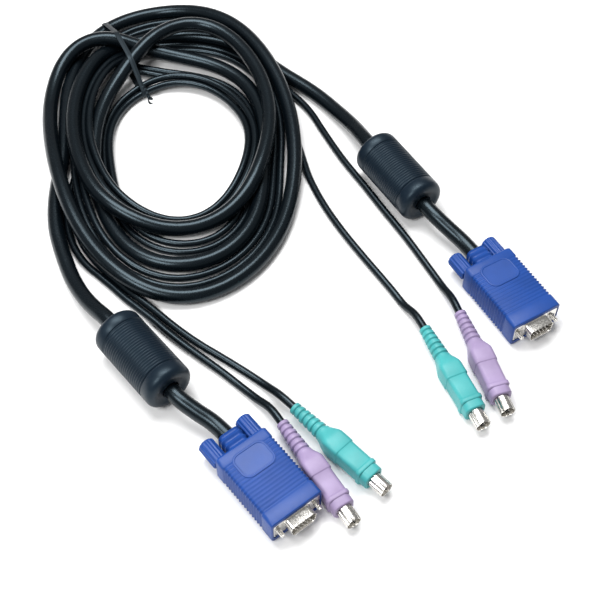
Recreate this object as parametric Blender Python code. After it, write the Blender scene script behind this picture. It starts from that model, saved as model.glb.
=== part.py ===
"""A KVM cable lying coiled on a flat surface, in metres, +Z up.

Each end has a blue video plug on a thick cord with a ferrite choke on it, and
two thin cords with a purple keyboard plug and a green mouse plug. Plugs are
built along +X, the way they are pushed in, and then laid on the floor.
"""

import math

import bmesh
import bpy
from mathutils import Matrix, Vector

MM = 0.001
GAP = 0.3 * MM  # between two pieces that touch
FAR = 60 * MM  # how far a cutter runs past what it cuts

# Cords
VGA_CORD_DIAMETER = 10 * MM
THIN_CORD_DIAMETER = 4.8 * MM
CORD_STEP = 3  # diameters between the points of a cord

# Thumbscrews
SCREW_SPACING = 25 * MM
SCREW_DIAMETER = 2.84 * MM
SCREW_REACH = 4.6 * MM
SCREW_TIP = 0.6 * MM
SCREW_IN_KNOB = 8 * MM
SCREW_CLEARANCE = 0.35 * MM
KNOB_DIAMETER = 10 * MM
KNOB_LENGTH = 15 * MM
KNOB_CHAMFER = 0.7 * MM
KNOB_RIDGES = 12
KNOB_RIDGE_DEPTH = 0.45 * MM

# Video plug: flange and hood, wide enough for the screws
FLANGE_MARGIN = 1.5 * MM  # of flange beside a screw
HOOD_WALL = 1.35 * MM  # of hood beside the flange
FLANGE_WIDTH = SCREW_SPACING + SCREW_DIAMETER + 2 * FLANGE_MARGIN
HOOD_WIDTH = FLANGE_WIDTH + 2 * HOOD_WALL

# Video plug: moulded hood, neck and ribs
HOOD_THICKNESS = 19 * MM
HOOD_LENGTH = 50 * MM
HOOD_CORNER = 2.2 * MM
HOOD_EDGE = 0.7 * MM
FRONT_COLLAR_LENGTH = 8.5 * MM
REAR_COLLAR_LENGTH = 7 * MM
SHOULDER_ROUND = 1.5 * MM
SIDE_RIB_DEPTH = 0.75 * MM
TOP_RIB_DEPTH = 0.25 * MM
RIB_PITCH = 2.3 * MM
NECK_WIDTH = 14 * MM
NECK_THICKNESS = 14.6 * MM
NECK_LENGTH = 11 * MM
NECK_CORNER = 3 * MM

# Raised arch on the hood's two broad faces
PANEL_WIDTH = 22 * MM
PANEL_LENGTH = 17 * MM
PANEL_FROM_SHOULDER = 4.5 * MM
PANEL_PROUD = 0.35 * MM
PANEL_ROOT = 1.6 * MM
PANEL_CORNER = 5.5 * MM

# Video plug: metal shell, with its flange let into the hood's front
FLANGE_HEIGHT = 12.5 * MM
FLANGE_THICKNESS = 0.9 * MM
FLANGE_CORNER = 1.6 * MM
FLANGE_RECESS = 0.2 * MM
SHELL_OPENING_WIDTH = 16.9 * MM
SHELL_OPENING_HEIGHT = 8.3 * MM
SHELL_SLANT = math.radians(10)
SHELL_CORNER = 2.2 * MM
SHELL_WALL = 0.45 * MM
SHELL_REACH = 6 * MM
SHELL_ROOT = 0.6 * MM  # how far the shell runs back into its flange

# Video plug: insulator and its fifteen pins
INSULATOR_DEPTH = 5.5 * MM
INSULATOR_FACE = 0.7 * MM
PIN_ROWS = 3
PINS_A_ROW = 5
PIN_PITCH = 2.29 * MM
PIN_ROW_PITCH = 1.98 * MM
PIN_DIAMETER = 0.76 * MM
PIN_REACH = 5.3 * MM
PIN_TIP = 0.5 * MM

# Ferrite choke: moulded cover round a sintered ring
CHOKE_DIAMETER = 30 * MM
CHOKE_LENGTH = 56 * MM
CHOKE_END_ROUND = 4 * MM
CHOKE_END_DEGREES = (30, 60, 90)
CHOKE_BAND_LENGTH = 5 * MM
CHOKE_GROOVE_DEPTH = 0.7 * MM
CHOKE_GROOVE_WIDTH = 1.4 * MM
CHOKE_RIBS = 10
CHOKE_RIB_DEPTH = 0.5 * MM
CHOKE_BORE_CLEARANCE = 0.4 * MM
CORE_DIAMETER = 21 * MM
CORE_LENGTH = 34 * MM
CORE_BORE_CLEARANCE = 0.6 * MM
CORE_CHAMFER = 0.8 * MM

# Keyboard and mouse plugs
DIN_BODY_SIZE = 13.6 * MM
DIN_BODY_LENGTH = 40 * MM
DIN_BODY_CORNER = 2.6 * MM
DIN_NOSE_LENGTH = 5 * MM
DIN_NOSE_SIZE = 12.6 * MM
DIN_NOSE_CORNER = 4.2 * MM
DIN_GRIP_INSET = 0.5 * MM
DIN_GRIP_LENGTH = 15 * MM
DIN_TAPER_LENGTH = 9 * MM
DIN_TAPER_SHOULDER = 4.8 * MM
DIN_TAPER_CORNER = 3.4 * MM
DIN_EDGE = 0.8 * MM
DIN_COLLAR_LENGTH = 1.6 * MM
BOOT_LENGTH = 22 * MM
BOOT_FRONT_DIAMETER = 9.8 * MM
BOOT_REAR_DIAMETER = 7.2 * MM
BOOT_RINGS = 6
BOOT_GROOVE_DEPTH = 1 * MM
DIN_SHELL_DIAMETER = 9 * MM
DIN_SHELL_WALL = 0.45 * MM
DIN_SHELL_REACH = 9.5 * MM
DIN_SHELL_SEAT = 3 * MM
DIN_KEYS = (math.radians(-90), math.radians(35), math.radians(145))
DIN_KEY_WIDTH = math.radians(17)
DIN_KEY_DEPTH = 0.6 * MM
DIN_FACE = 1.2 * MM
DIN_PIN_DIAMETER = 0.9 * MM
DIN_PIN_REACH = 7.6 * MM
DIN_PIN_CIRCLE = 5.4 * MM
DIN_PIN_ANGLES = (62, 118, 5, 175, -48, -132)
DIN_TAB_WIDTH = 2 * MM
DIN_TAB_HEIGHT = 1 * MM
DIN_TAB_CORNER = 0.12 * MM
DIN_TAB_REACH = 8.2 * MM

# Coil of cord: an outer and an inner oval, seen from above
COIL_OUTER_CENTRE = (-92 * MM, 86 * MM)
COIL_OUTER_RADII = (86 * MM, 130 * MM)
COIL_OUTER_LEAN = -13 * MM
COIL_INNER_CENTRE = (-83.5 * MM, 71.5 * MM)
COIL_INNER_RADII = (46.5 * MM, 56.5 * MM)
COIL_HEIGHT = 20.6 * MM
COIL_CORNER = 6 * MM
COIL_SECTIONS = 40

# Tie round the coil
TIE_ANGLE = math.radians(120)
TIE_LIFT_SPAN = math.radians(30)
TIE_LIFT_FLAT = 1.5  # above 1, the coil stays level under the tie itself
TIE_WIDTH = 3.4 * MM
TIE_THICKNESS = 0.9 * MM
TIE_TWIST_LENGTH = 13 * MM
TIE_TWIST_TURNS = 1.5
TIE_TWIST_DROP = 3 * MM
TIE_TWIST_STEPS = 12

# Where each plug's front face and each choke's middle lie on the floor, and
# the way it points, in degrees from +X
VGA_PLACES = {
    "near": (-6.5 * MM, -189 * MM, -51.5),
    "far": (133.5 * MM, -66 * MM, -59.5),
}
CHOKE_PLACES = {
    "near": (-95 * MM, -93 * MM, -50),
    "far": (58 * MM, 47 * MM, -58),
}
KEYBOARD_PLACES = {
    "near": (18.5 * MM, -183.5 * MM, -57.5),
    "far": (109 * MM, -115 * MM, -72.5),
}
MOUSE_PLACES = {
    "near": (35 * MM, -165.5 * MM, -46),
    "far": (93.5 * MM, -124 * MM, -66.5),
}

# Routes of the cords in millimetres, from the coil to the choke, from the
# choke to the video plug, and from the coil to each thin cord's plug
COIL_TO_CHOKE = {
    "near": [(-157.5, 5.9, 5), (-154.6, -3, 5), (-144, -29, 6.2), (-132, -49, 9.8)],
    "far": [(-21.7, 156.6, 5), (5.5, 132, 5), (20, 114, 6.2), (31, 96, 9.8)],
}
CHOKE_TO_VGA = {
    "near": [(-60.5, -128.3, 12.2)],
    "far": [(88.2, 4.3, 12.2)],
}
COIL_TO_KEYBOARD = {
    "near": [
        (-125.4, -27.2, 2.4),
        (-108.7, -43.7, 2.4),
        (-96, -54.5, 2.4),
        (-84, -66, 2.4),
        (-71, -77.5, 2.4),
        (-58, -88, 2.4),
        (-45, -99, 2.4),
        (-33, -110, 2.8),
    ],
    "far": [
        (-18.7, 143.7, 2.4),
        (-0.5, 121.5, 2.4),
        (12, 96, 2.4),
        (24, 72, 2.4),
        (36, 51.5, 2.4),
        (49, 28.5, 2.4),
        (62, 6, 2.4),
        (73, -15, 2.4),
        (81.5, -32, 2.8),
    ],
}
COIL_TO_MOUSE = {
    "near": [
        (-104.9, -39.8, 2.4),
        (-92, -51.2, 2.4),
        (-80.3, -62, 2.4),
        (-67, -73, 2.4),
        (-53.5, -82.5, 2.4),
        (-40, -92, 2.4),
        (-27, -102, 2.8),
    ],
    "far": [
        (-3.8, 76, 2.4),
        (1, 57, 2.4),
        (10, 34, 2.4),
        (22, 11, 2.4),
        (35.5, -11, 2.4),
        (49, -32, 2.4),
        (59, -48.5, 2.8),
    ],
}
PLUG_LEAD = 9 * MM  # straight cord behind a thin plug's boot or a choke
NECK_LEAD = 6 * MM  # straight cord behind a video plug's neck
CHOKE_LEAD = 7 * MM

# How finely round things are divided
CHOKE_SIDES = 20
KNOB_STEPS = 2
ROD_SIDES = 12
PIN_SIDES = 6
DIN_SIDES = 24
SHELL_STEPS = 3
CORNER_STEPS = 3
BOOT_STEPS = 3

COLOURS = {
    "blue": ((0.05, 0.14, 0.52), 0.42, 0.0),
    "purple": ((0.52, 0.36, 0.70), 0.45, 0.0),
    "green": ((0.10, 0.62, 0.52), 0.45, 0.0),
    "black_cord": ((0.012, 0.014, 0.017), 0.38, 0.0),
    "black_moulding": ((0.02, 0.024, 0.03), 0.48, 0.0),
    "black_insulator": ((0.01, 0.01, 0.012), 0.5, 0.0),
    "nickel": ((0.72, 0.70, 0.66), 0.28, 1.0),
    "ferrite": ((0.05, 0.05, 0.055), 0.7, 0.2),
}


def material(name):
    colour, roughness, metallic = COLOURS[name]
    made = bpy.data.materials.get(name)
    if made is None:
        made = bpy.data.materials.new(name)
        made.use_nodes = True
        shader = made.node_tree.nodes["Principled BSDF"]
        shader.inputs["Base Color"].default_value = (*colour, 1)
        shader.inputs["Roughness"].default_value = roughness
        shader.inputs["Metallic"].default_value = metallic
    return made


def add_object(name, data, finish, parent=None, at=(0, 0, 0)):
    """Link an object with its own material, under its parent if it has one."""
    made = bpy.data.objects.new(name, data)
    bpy.context.scene.collection.objects.link(made)
    if finish:
        own = material(finish).copy()
        own.name = f"{name}_{finish}"
        data.materials.append(own)
    made.parent = parent
    made.location = at
    return made


def mesh_of(name, mesh, smooth_below=40):
    """A mesh from bmesh, its faces turned out and its round stretches smooth."""
    bmesh.ops.recalc_face_normals(mesh, faces=mesh.faces)
    data = bpy.data.meshes.new(name)
    mesh.to_mesh(data)
    mesh.free()
    data.shade_smooth()
    data.set_sharp_from_angle(angle=math.radians(smooth_below))
    return data


def loft(name, rings, closed=False):
    """A skin over rings of as many points each, capped or closed on itself."""
    mesh = bmesh.new()
    rows = [[mesh.verts.new(point) for point in ring] for ring in rings]
    count = len(rows[0])
    pairs = list(zip(rows, rows[1:]))
    if closed:
        pairs.append((rows[-1], rows[0]))
    for one, two in pairs:
        for i in range(count):
            j = (i + 1) % count
            mesh.faces.new((one[i], one[j], two[j], two[i]))
    if not closed:
        mesh.faces.new(rows[0])
        mesh.faces.new(rows[-1])
    return mesh_of(name, mesh)


def circle(x, radius, sides):
    turn = 2 * math.pi / sides
    return [
        Vector((x, radius * math.cos(i * turn), radius * math.sin(i * turn)))
        for i in range(sides)
    ]


def rounded_outline(half_width, half_height, corner, steps=CORNER_STEPS):
    """Points round a rectangle with round corners, as (across, up)."""
    corner = min(corner, half_width, half_height)
    points = []
    for quarter in range(4):
        side = 1 if quarter in (0, 3) else -1
        top = 1 if quarter in (0, 1) else -1
        for step in range(steps):
            angle = (quarter + (step + 0.5) / steps) * math.pi / 2
            points.append(
                (
                    side * (half_width - corner) + corner * math.cos(angle),
                    top * (half_height - corner) + corner * math.sin(angle),
                )
            )
    return points


def section(x, half_width, half_height, corner, steps=CORNER_STEPS):
    """A ring across the X axis with round corners."""
    outline = rounded_outline(half_width, half_height, corner, steps)
    return [Vector((x, across, up)) for across, up in outline]


def shell_outline(half_width, half_height, corner):
    """A trapezoid with round corners, wider at the top, as (across, up)."""
    lean = half_height * math.tan(SHELL_SLANT)
    corners = [
        Vector((half_width, half_height)),
        Vector((-half_width, half_height)),
        Vector((-half_width + 2 * lean, -half_height)),
        Vector((half_width - 2 * lean, -half_height)),
    ]
    points = []
    for i, point in enumerate(corners):
        before = (corners[i - 1] - point).normalized()
        after = (corners[(i + 1) % 4] - point).normalized()
        middle = (before + after).normalized()
        half_angle = before.angle(after) / 2
        centre = point + middle * corner / math.sin(half_angle)
        reach = corner / math.tan(half_angle)
        first = point + before * reach - centre
        last = point + after * reach - centre
        turn = first.angle_signed(last)
        for step in range(SHELL_STEPS + 1):
            part = -turn * step / SHELL_STEPS
            points.append(centre + Matrix.Rotation(part, 2) @ first)
    return points


def prism(name, outline, start, end):
    """An outline across the X axis, drawn out along it."""
    rings = [[Vector((x, p[0], p[1])) for p in outline] for x in (start, end)]
    return loft(name, rings)


def boolean(target, tool_data, operation, parent, at=(0, 0, 0)):
    """Cut a tool from the target or join it on, leaving the tool as a guide."""
    tool = add_object(f"guide_{tool_data.name}", tool_data, None, parent, at)
    tool.hide_render = True
    tool.display_type = "WIRE"
    change = target.modifiers.new(tool.name, "BOOLEAN")
    change.operation = operation
    change.solver = "EXACT"
    change.object = tool
    return tool


def empty(name, place, height):
    made = bpy.data.objects.new(name, None)
    bpy.context.scene.collection.objects.link(made)
    made.location = (place[0], place[1], height)
    made.rotation_euler = (0, 0, math.radians(place[2]))
    return made


def heading(degrees):
    angle = math.radians(degrees)
    return Vector((math.cos(angle), math.sin(angle), 0))


def hood_rings():
    """Rings of the video plug's hood, from its front face to the neck's end."""
    half_width = HOOD_WIDTH / 2
    half_height = HOOD_THICKNESS / 2
    ribs_length = HOOD_LENGTH - FRONT_COLLAR_LENGTH - REAR_COLLAR_LENGTH
    ribs = round(ribs_length / RIB_PITCH)
    pitch = ribs_length / ribs
    stations = [
        (0, HOOD_EDGE, HOOD_EDGE),
        (-HOOD_EDGE, 0, 0),
        (-FRONT_COLLAR_LENGTH, 0, 0),
    ]
    for rib in range(ribs):
        x = -FRONT_COLLAR_LENGTH - rib * pitch
        stations.append((x - pitch / 2, SIDE_RIB_DEPTH, TOP_RIB_DEPTH))
        stations.append((x - pitch, 0, 0))
    stations += [
        (-HOOD_LENGTH + SHOULDER_ROUND, 0, 0),
        (-HOOD_LENGTH + SHOULDER_ROUND / 3, SHOULDER_ROUND / 3, SHOULDER_ROUND / 3),
        (-HOOD_LENGTH, SHOULDER_ROUND, SHOULDER_ROUND),
    ]
    rings = [
        section(x, half_width - side, half_height - top, HOOD_CORNER)
        for x, side, top in stations
    ]
    neck_end = -HOOD_LENGTH - NECK_LENGTH
    for x, inset in ((-HOOD_LENGTH, 0), (neck_end + HOOD_EDGE, 0), (neck_end, HOOD_EDGE)):
        half = NECK_WIDTH / 2 - inset
        rings.append(section(x, half, NECK_THICKNESS / 2 - inset, NECK_CORNER))
    return rings


def make_hood(end, plug):
    """The blue moulding, with seats for the shell, the insulator and the screws."""
    name = f"{end}_vga_hood"
    hood = add_object(name, loft(name, hood_rings()), "blue", plug)
    panel_rear = -HOOD_LENGTH + PANEL_FROM_SHOULDER
    arch = rounded_outline(PANEL_LENGTH / 2, PANEL_WIDTH / 2, PANEL_CORNER)
    middle = panel_rear + PANEL_LENGTH / 2
    foot = HOOD_THICKNESS / 2 - TOP_RIB_DEPTH - PANEL_ROOT
    proud = HOOD_THICKNESS / 2 + PANEL_PROUD
    for side in (1, -1):
        rings = [[Vector((middle + x, y, side * z)) for x, y in arch] for z in (foot, proud)]
        face = "top" if side > 0 else "bottom"
        boolean(hood, loft(f"{name}_{face}_arch", rings), "UNION", plug)
    seat = rounded_outline(
        FLANGE_WIDTH / 2 + GAP, FLANGE_HEIGHT / 2 + GAP, FLANGE_CORNER + GAP
    )
    seat_floor = -FLANGE_RECESS - FLANGE_THICKNESS - GAP
    boolean(hood, prism(f"{name}_seat", seat, seat_floor, FAR), "DIFFERENCE", plug)
    pocket = shell_outline(
        SHELL_OPENING_WIDTH / 2, SHELL_OPENING_HEIGHT / 2, SHELL_CORNER
    )
    pocket_floor = -FLANGE_RECESS - INSULATOR_DEPTH - GAP
    boolean(hood, prism(f"{name}_pocket", pocket, pocket_floor, FAR), "DIFFERENCE", plug)
    bore = SCREW_DIAMETER / 2 + SCREW_CLEARANCE
    for side in (1, -1):
        drill = loft(
            f"{name}_bore_{'left' if side > 0 else 'right'}",
            [circle(x, bore, ROD_SIDES) for x in (-HOOD_LENGTH - FAR, FAR)],
        )
        at = (0, side * SCREW_SPACING / 2, 0)
        boolean(hood, drill, "DIFFERENCE", plug, at)
    return hood


def make_shell(end, plug):
    """The plated steel flange with the D-shaped shell drawn out of it."""
    name = f"{end}_vga_shell"
    front = -FLANGE_RECESS
    back = front - FLANGE_THICKNESS
    plate = rounded_outline(FLANGE_WIDTH / 2, FLANGE_HEIGHT / 2, FLANGE_CORNER)
    shell = add_object(name, prism(name, plate, back, front), "nickel", plug)
    outer = shell_outline(
        SHELL_OPENING_WIDTH / 2 + SHELL_WALL,
        SHELL_OPENING_HEIGHT / 2 + SHELL_WALL,
        SHELL_CORNER + SHELL_WALL,
    )
    inner = shell_outline(
        SHELL_OPENING_WIDTH / 2, SHELL_OPENING_HEIGHT / 2, SHELL_CORNER
    )
    root = front - SHELL_ROOT
    boolean(shell, prism(f"{name}_drawn", outer, root, SHELL_REACH), "UNION", plug)
    boolean(shell, prism(f"{name}_mouth", inner, -FAR, FAR), "DIFFERENCE", plug)
    hole = SCREW_DIAMETER / 2 + SCREW_CLEARANCE
    for side in (1, -1):
        drill = loft(
            f"{name}_hole_{'left' if side > 0 else 'right'}",
            [circle(x, hole, ROD_SIDES) for x in (-FAR, FAR)],
        )
        at = (0, side * SCREW_SPACING / 2, 0)
        boolean(shell, drill, "DIFFERENCE", plug, at)
    return shell


def pin_rings(start, end, radius, tip):
    return [
        circle(start, radius, PIN_SIDES),
        circle(end - tip, radius, PIN_SIDES),
        circle(end, radius / 2, PIN_SIDES),
    ]


def pins_mesh(name, places, start, end, diameter, blocks=()):
    """Pins at places across the X axis in one mesh, with any keying block."""
    joined = bmesh.new()
    for across, up in places:
        pin = loft(name, pin_rings(start, end, diameter / 2, PIN_TIP))
        pin.transform(Matrix.Translation((0, across, up)))
        joined.from_mesh(pin)
        bpy.data.meshes.remove(pin)
    for block in blocks:
        joined.from_mesh(block)
        bpy.data.meshes.remove(block)
    return mesh_of(name, joined)


def vga_pin_places():
    """Three rows of five, the middle row half a pitch over."""
    places = []
    for row in range(PIN_ROWS):
        up = ((PIN_ROWS - 1) / 2 - row) * PIN_ROW_PITCH
        shift = PIN_PITCH / 4 if row % 2 == 0 else -PIN_PITCH / 4
        for pin in range(PINS_A_ROW):
            across = (pin - (PINS_A_ROW - 1) / 2) * PIN_PITCH + shift
            places.append((across, up))
    return places


def make_insulator(end, plug):
    """The black block inside the shell, with its pins moulded in."""
    name = f"{end}_vga_insulator"
    outline = shell_outline(
        SHELL_OPENING_WIDTH / 2 - GAP, SHELL_OPENING_HEIGHT / 2 - GAP, SHELL_CORNER - GAP
    )
    back = -FLANGE_RECESS - INSULATOR_DEPTH
    data = prism(name, outline, back, INSULATOR_FACE)
    insulator = add_object(name, data, "black_insulator", plug)
    pins = pins_mesh(f"{name}_pins", vga_pin_places(), 0, PIN_REACH, PIN_DIAMETER)
    boolean(insulator, pins, "UNION", plug)
    return insulator


def knob_ring(x, radius, depth):
    """A ring with ridges for the fingers."""
    count = KNOB_RIDGES * KNOB_STEPS
    points = circle(x, 1, count)
    ring = []
    for i, point in enumerate(points):
        reach = radius - (depth if i % KNOB_STEPS else 0)
        ring.append(Vector((x, point.y * reach, point.z * reach)))
    return ring


def make_thumbscrew(end, side_name, side, plug):
    """A moulded knob behind the shoulder, on a screw that runs through the hood."""
    at = (0, side * SCREW_SPACING / 2, 0)
    front = -HOOD_LENGTH - GAP
    rear = front - KNOB_LENGTH
    bore = SCREW_DIAMETER / 2 + GAP
    radius = KNOB_DIAMETER / 2
    name = f"{end}_{side_name}_thumb_knob"
    rings = [
        knob_ring(front - SCREW_IN_KNOB - GAP, bore, 0),
        knob_ring(front, bore, 0),
        knob_ring(front, radius - KNOB_CHAMFER, 0),
        knob_ring(front - KNOB_CHAMFER, radius, KNOB_RIDGE_DEPTH),
        knob_ring(rear + KNOB_CHAMFER, radius, KNOB_RIDGE_DEPTH),
        knob_ring(rear, radius - KNOB_CHAMFER, 0),
    ]
    add_object(name, loft(name, rings), "blue", plug, at)
    name = f"{end}_{side_name}_thumb_screw"
    rod = SCREW_DIAMETER / 2
    rings = [
        circle(front - SCREW_IN_KNOB, rod, ROD_SIDES),
        circle(SCREW_REACH - SCREW_TIP, rod, ROD_SIDES),
        circle(SCREW_REACH, rod - SCREW_TIP, ROD_SIDES),
    ]
    add_object(name, loft(name, rings), "nickel", plug, at)


def make_vga_plug(end):
    plug = empty(f"{end}_vga_plug", VGA_PLACES[end], HOOD_THICKNESS / 2 + PANEL_PROUD)
    make_hood(end, plug)
    make_shell(end, plug)
    make_insulator(end, plug)
    make_thumbscrew(end, "left", 1, plug)
    make_thumbscrew(end, "right", -1, plug)


def choke_profile():
    """The cover's turned profile as (along, radius): out over it, back inside."""
    half = CHOKE_LENGTH / 2
    radius = CHOKE_DIAMETER / 2
    outer = [(half, radius - CHOKE_END_ROUND)]
    for degrees in CHOKE_END_DEGREES:
        angle = math.radians(degrees)
        outer.append(
            (
                half - CHOKE_END_ROUND * (1 - math.cos(angle)),
                radius - CHOKE_END_ROUND * (1 - math.sin(angle)),
            )
        )
    band = half - CHOKE_END_ROUND - CHOKE_BAND_LENGTH
    ribbed = band - CHOKE_GROOVE_WIDTH
    outer.append((band, radius))
    outer.append((band - CHOKE_GROOVE_WIDTH / 2, radius - CHOKE_GROOVE_DEPTH))
    end = list(outer)
    outer.append((ribbed, radius))
    pitch = 2 * ribbed / CHOKE_RIBS
    for rib in range(CHOKE_RIBS):
        x = ribbed - rib * pitch
        outer.append((x - pitch / 2, radius - CHOKE_RIB_DEPTH))
        outer.append((x - pitch, radius))
    outer += [(-x, r) for x, r in reversed(end)]
    bore = VGA_CORD_DIAMETER / 2 + CHOKE_BORE_CLEARANCE
    seat = CORE_DIAMETER / 2 + GAP
    inside = CORE_LENGTH / 2 + GAP
    outer += [(-half, bore), (-inside, bore), (-inside, seat)]
    return outer + [(inside, seat), (inside, bore), (half, bore)]


def turned(name, profile, sides):
    return loft(name, [circle(x, r, sides) for x, r in profile], closed=True)


def make_choke(end):
    """The ferrite ring, and the cover moulded round it."""
    middle = empty(f"{end}_choke", CHOKE_PLACES[end], CHOKE_DIAMETER / 2)
    name = f"{end}_ferrite_cover"
    cover = turned(name, choke_profile(), CHOKE_SIDES)
    add_object(name, cover, "black_moulding", middle)
    name = f"{end}_ferrite_core"
    half = CORE_LENGTH / 2
    outer = CORE_DIAMETER / 2
    bore = VGA_CORD_DIAMETER / 2 + CORE_BORE_CLEARANCE
    profile = [
        (half, outer - CORE_CHAMFER),
        (half - CORE_CHAMFER, outer),
        (-half + CORE_CHAMFER, outer),
        (-half, outer - CORE_CHAMFER),
        (-half, bore),
        (half, bore),
    ]
    add_object(name, turned(name, profile, CHOKE_SIDES), "ferrite", middle)


def din_body_rings():
    """Rings of a keyboard or mouse plug, from its socket for the shell to the boot."""
    seat = DIN_SHELL_DIAMETER / 2 + GAP
    half = DIN_BODY_SIZE / 2
    nose = DIN_NOSE_SIZE / 2
    grip = half - DIN_GRIP_INSET
    grip_start = DIN_NOSE_LENGTH + DIN_EDGE + DIN_COLLAR_LENGTH
    grip_end = grip_start + DIN_GRIP_LENGTH
    taper = DIN_BODY_LENGTH - DIN_TAPER_LENGTH
    boot_front = BOOT_FRONT_DIAMETER / 2
    stations = [
        (-DIN_SHELL_SEAT - GAP, seat, seat),
        (0, seat, seat),
        (0, nose - DIN_EDGE, DIN_NOSE_CORNER),
        (-DIN_EDGE, nose, DIN_NOSE_CORNER),
        (-DIN_NOSE_LENGTH, nose, DIN_NOSE_CORNER),
        (-DIN_NOSE_LENGTH, half - DIN_EDGE, DIN_BODY_CORNER),
        (-DIN_NOSE_LENGTH - DIN_EDGE, half, DIN_BODY_CORNER),
        (-grip_start, half, DIN_BODY_CORNER),
        (-grip_start - DIN_EDGE, grip, DIN_BODY_CORNER),
        (-grip_end, grip, DIN_BODY_CORNER),
        (-grip_end - DIN_EDGE, half, DIN_BODY_CORNER),
        (-taper, half, DIN_BODY_CORNER),
        (-taper - DIN_TAPER_SHOULDER, (half + boot_front) / 2, DIN_TAPER_CORNER),
        (-DIN_BODY_LENGTH, boot_front, boot_front),
    ]
    pitch = BOOT_LENGTH / BOOT_RINGS
    narrowing = (BOOT_FRONT_DIAMETER - BOOT_REAR_DIAMETER) / 2 / BOOT_RINGS
    for ring in range(BOOT_RINGS):
        x = -DIN_BODY_LENGTH - ring * pitch
        radius = boot_front - (ring + 1) * narrowing
        groove = radius - BOOT_GROOVE_DEPTH
        stations.append((x - pitch / 4, groove, groove))
        stations.append((x - pitch / 2, radius, radius))
        stations.append((x - pitch, radius, radius))
    return [section(x, size, size, corner, BOOT_STEPS) for x, size, corner in stations]


def din_shell_ring(x, radius):
    """A round ring with three grooves pressed in, which key the plug."""
    ring = []
    for i in range(DIN_SIDES):
        angle = i * 2 * math.pi / DIN_SIDES
        inset = 0
        for key in DIN_KEYS:
            off = abs(math.remainder(angle - key, 2 * math.pi))
            if off < DIN_KEY_WIDTH:
                inset = DIN_KEY_DEPTH * (1 + math.cos(math.pi * off / DIN_KEY_WIDTH)) / 2
        reach = radius - inset
        ring.append(Vector((x, reach * math.cos(angle), reach * math.sin(angle))))
    return ring


def make_din_plug(end, use, colour, place):
    """A keyboard or mouse plug: moulded body, drawn shell, and pins in a disc."""
    plug = empty(f"{end}_{use}_plug", place, DIN_BODY_SIZE / 2)
    name = f"{end}_{use}_body"
    add_object(name, loft(name, din_body_rings()), colour, plug)
    outer = DIN_SHELL_DIAMETER / 2
    inner = outer - DIN_SHELL_WALL
    name = f"{end}_{use}_shell"
    rings = [
        din_shell_ring(x, radius)
        for x, radius in (
            (DIN_SHELL_REACH, outer),
            (-DIN_SHELL_SEAT, outer),
            (-DIN_SHELL_SEAT, inner),
            (DIN_SHELL_REACH, inner),
        )
    ]
    add_object(name, loft(name, rings, closed=True), "nickel", plug)
    name = f"{end}_{use}_insulator"
    rings = [din_shell_ring(x, inner - GAP) for x in (-DIN_SHELL_SEAT, DIN_FACE)]
    disc = add_object(name, loft(name, rings), "black_insulator", plug)
    turns = [math.radians(degrees) for degrees in DIN_PIN_ANGLES]
    reach = DIN_PIN_CIRCLE / 2
    places = [(reach * math.cos(turn), reach * math.sin(turn)) for turn in turns]
    tab = rounded_outline(DIN_TAB_WIDTH / 2, DIN_TAB_HEIGHT / 2, DIN_TAB_CORNER, 1)
    block = prism(f"{name}_tab", tab, 0, DIN_TAB_REACH)
    pins = pins_mesh(f"{name}_pins", places, 0, DIN_PIN_REACH, DIN_PIN_DIAMETER, [block])
    boolean(disc, pins, "UNION", plug)


def coil_section(angle, grow):
    """The coil's section at an angle, grown all round, as a ring of points."""
    cos, sin = math.cos(angle), math.sin(angle)
    inner = Vector(
        (
            COIL_INNER_CENTRE[0] + COIL_INNER_RADII[0] * cos,
            COIL_INNER_CENTRE[1] + COIL_INNER_RADII[1] * sin,
            0,
        )
    )
    outer = Vector(
        (
            COIL_OUTER_CENTRE[0] + COIL_OUTER_RADII[0] * cos + COIL_OUTER_LEAN * sin,
            COIL_OUTER_CENTRE[1] + COIL_OUTER_RADII[1] * sin,
            0,
        )
    )
    across = (outer - inner).normalized()
    middle = (outer + inner) / 2
    off = abs(math.remainder(angle - TIE_ANGLE, 2 * math.pi))
    lift = 0
    if off < TIE_LIFT_SPAN:
        lift = TIE_THICKNESS + GAP
        rise = (1 + math.cos(math.pi * off / TIE_LIFT_SPAN)) / 2
        lift *= min(1, TIE_LIFT_FLAT * rise)
    half_width = (outer - inner).length / 2 + grow
    half_height = (COIL_HEIGHT - lift) / 2 + grow
    up = Vector((0, 0, lift + (COIL_HEIGHT - lift) / 2))
    outline = rounded_outline(half_width, half_height, COIL_CORNER + grow)
    return [middle + up + across * x + Vector((0, 0, z)) for x, z in outline]


def make_coil():
    name = "cable_coil"
    step = 2 * math.pi / COIL_SECTIONS
    rings = [coil_section(i * step, 0) for i in range(COIL_SECTIONS)]
    add_object(name, loft(name, rings, closed=True), "black_cord")


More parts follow.
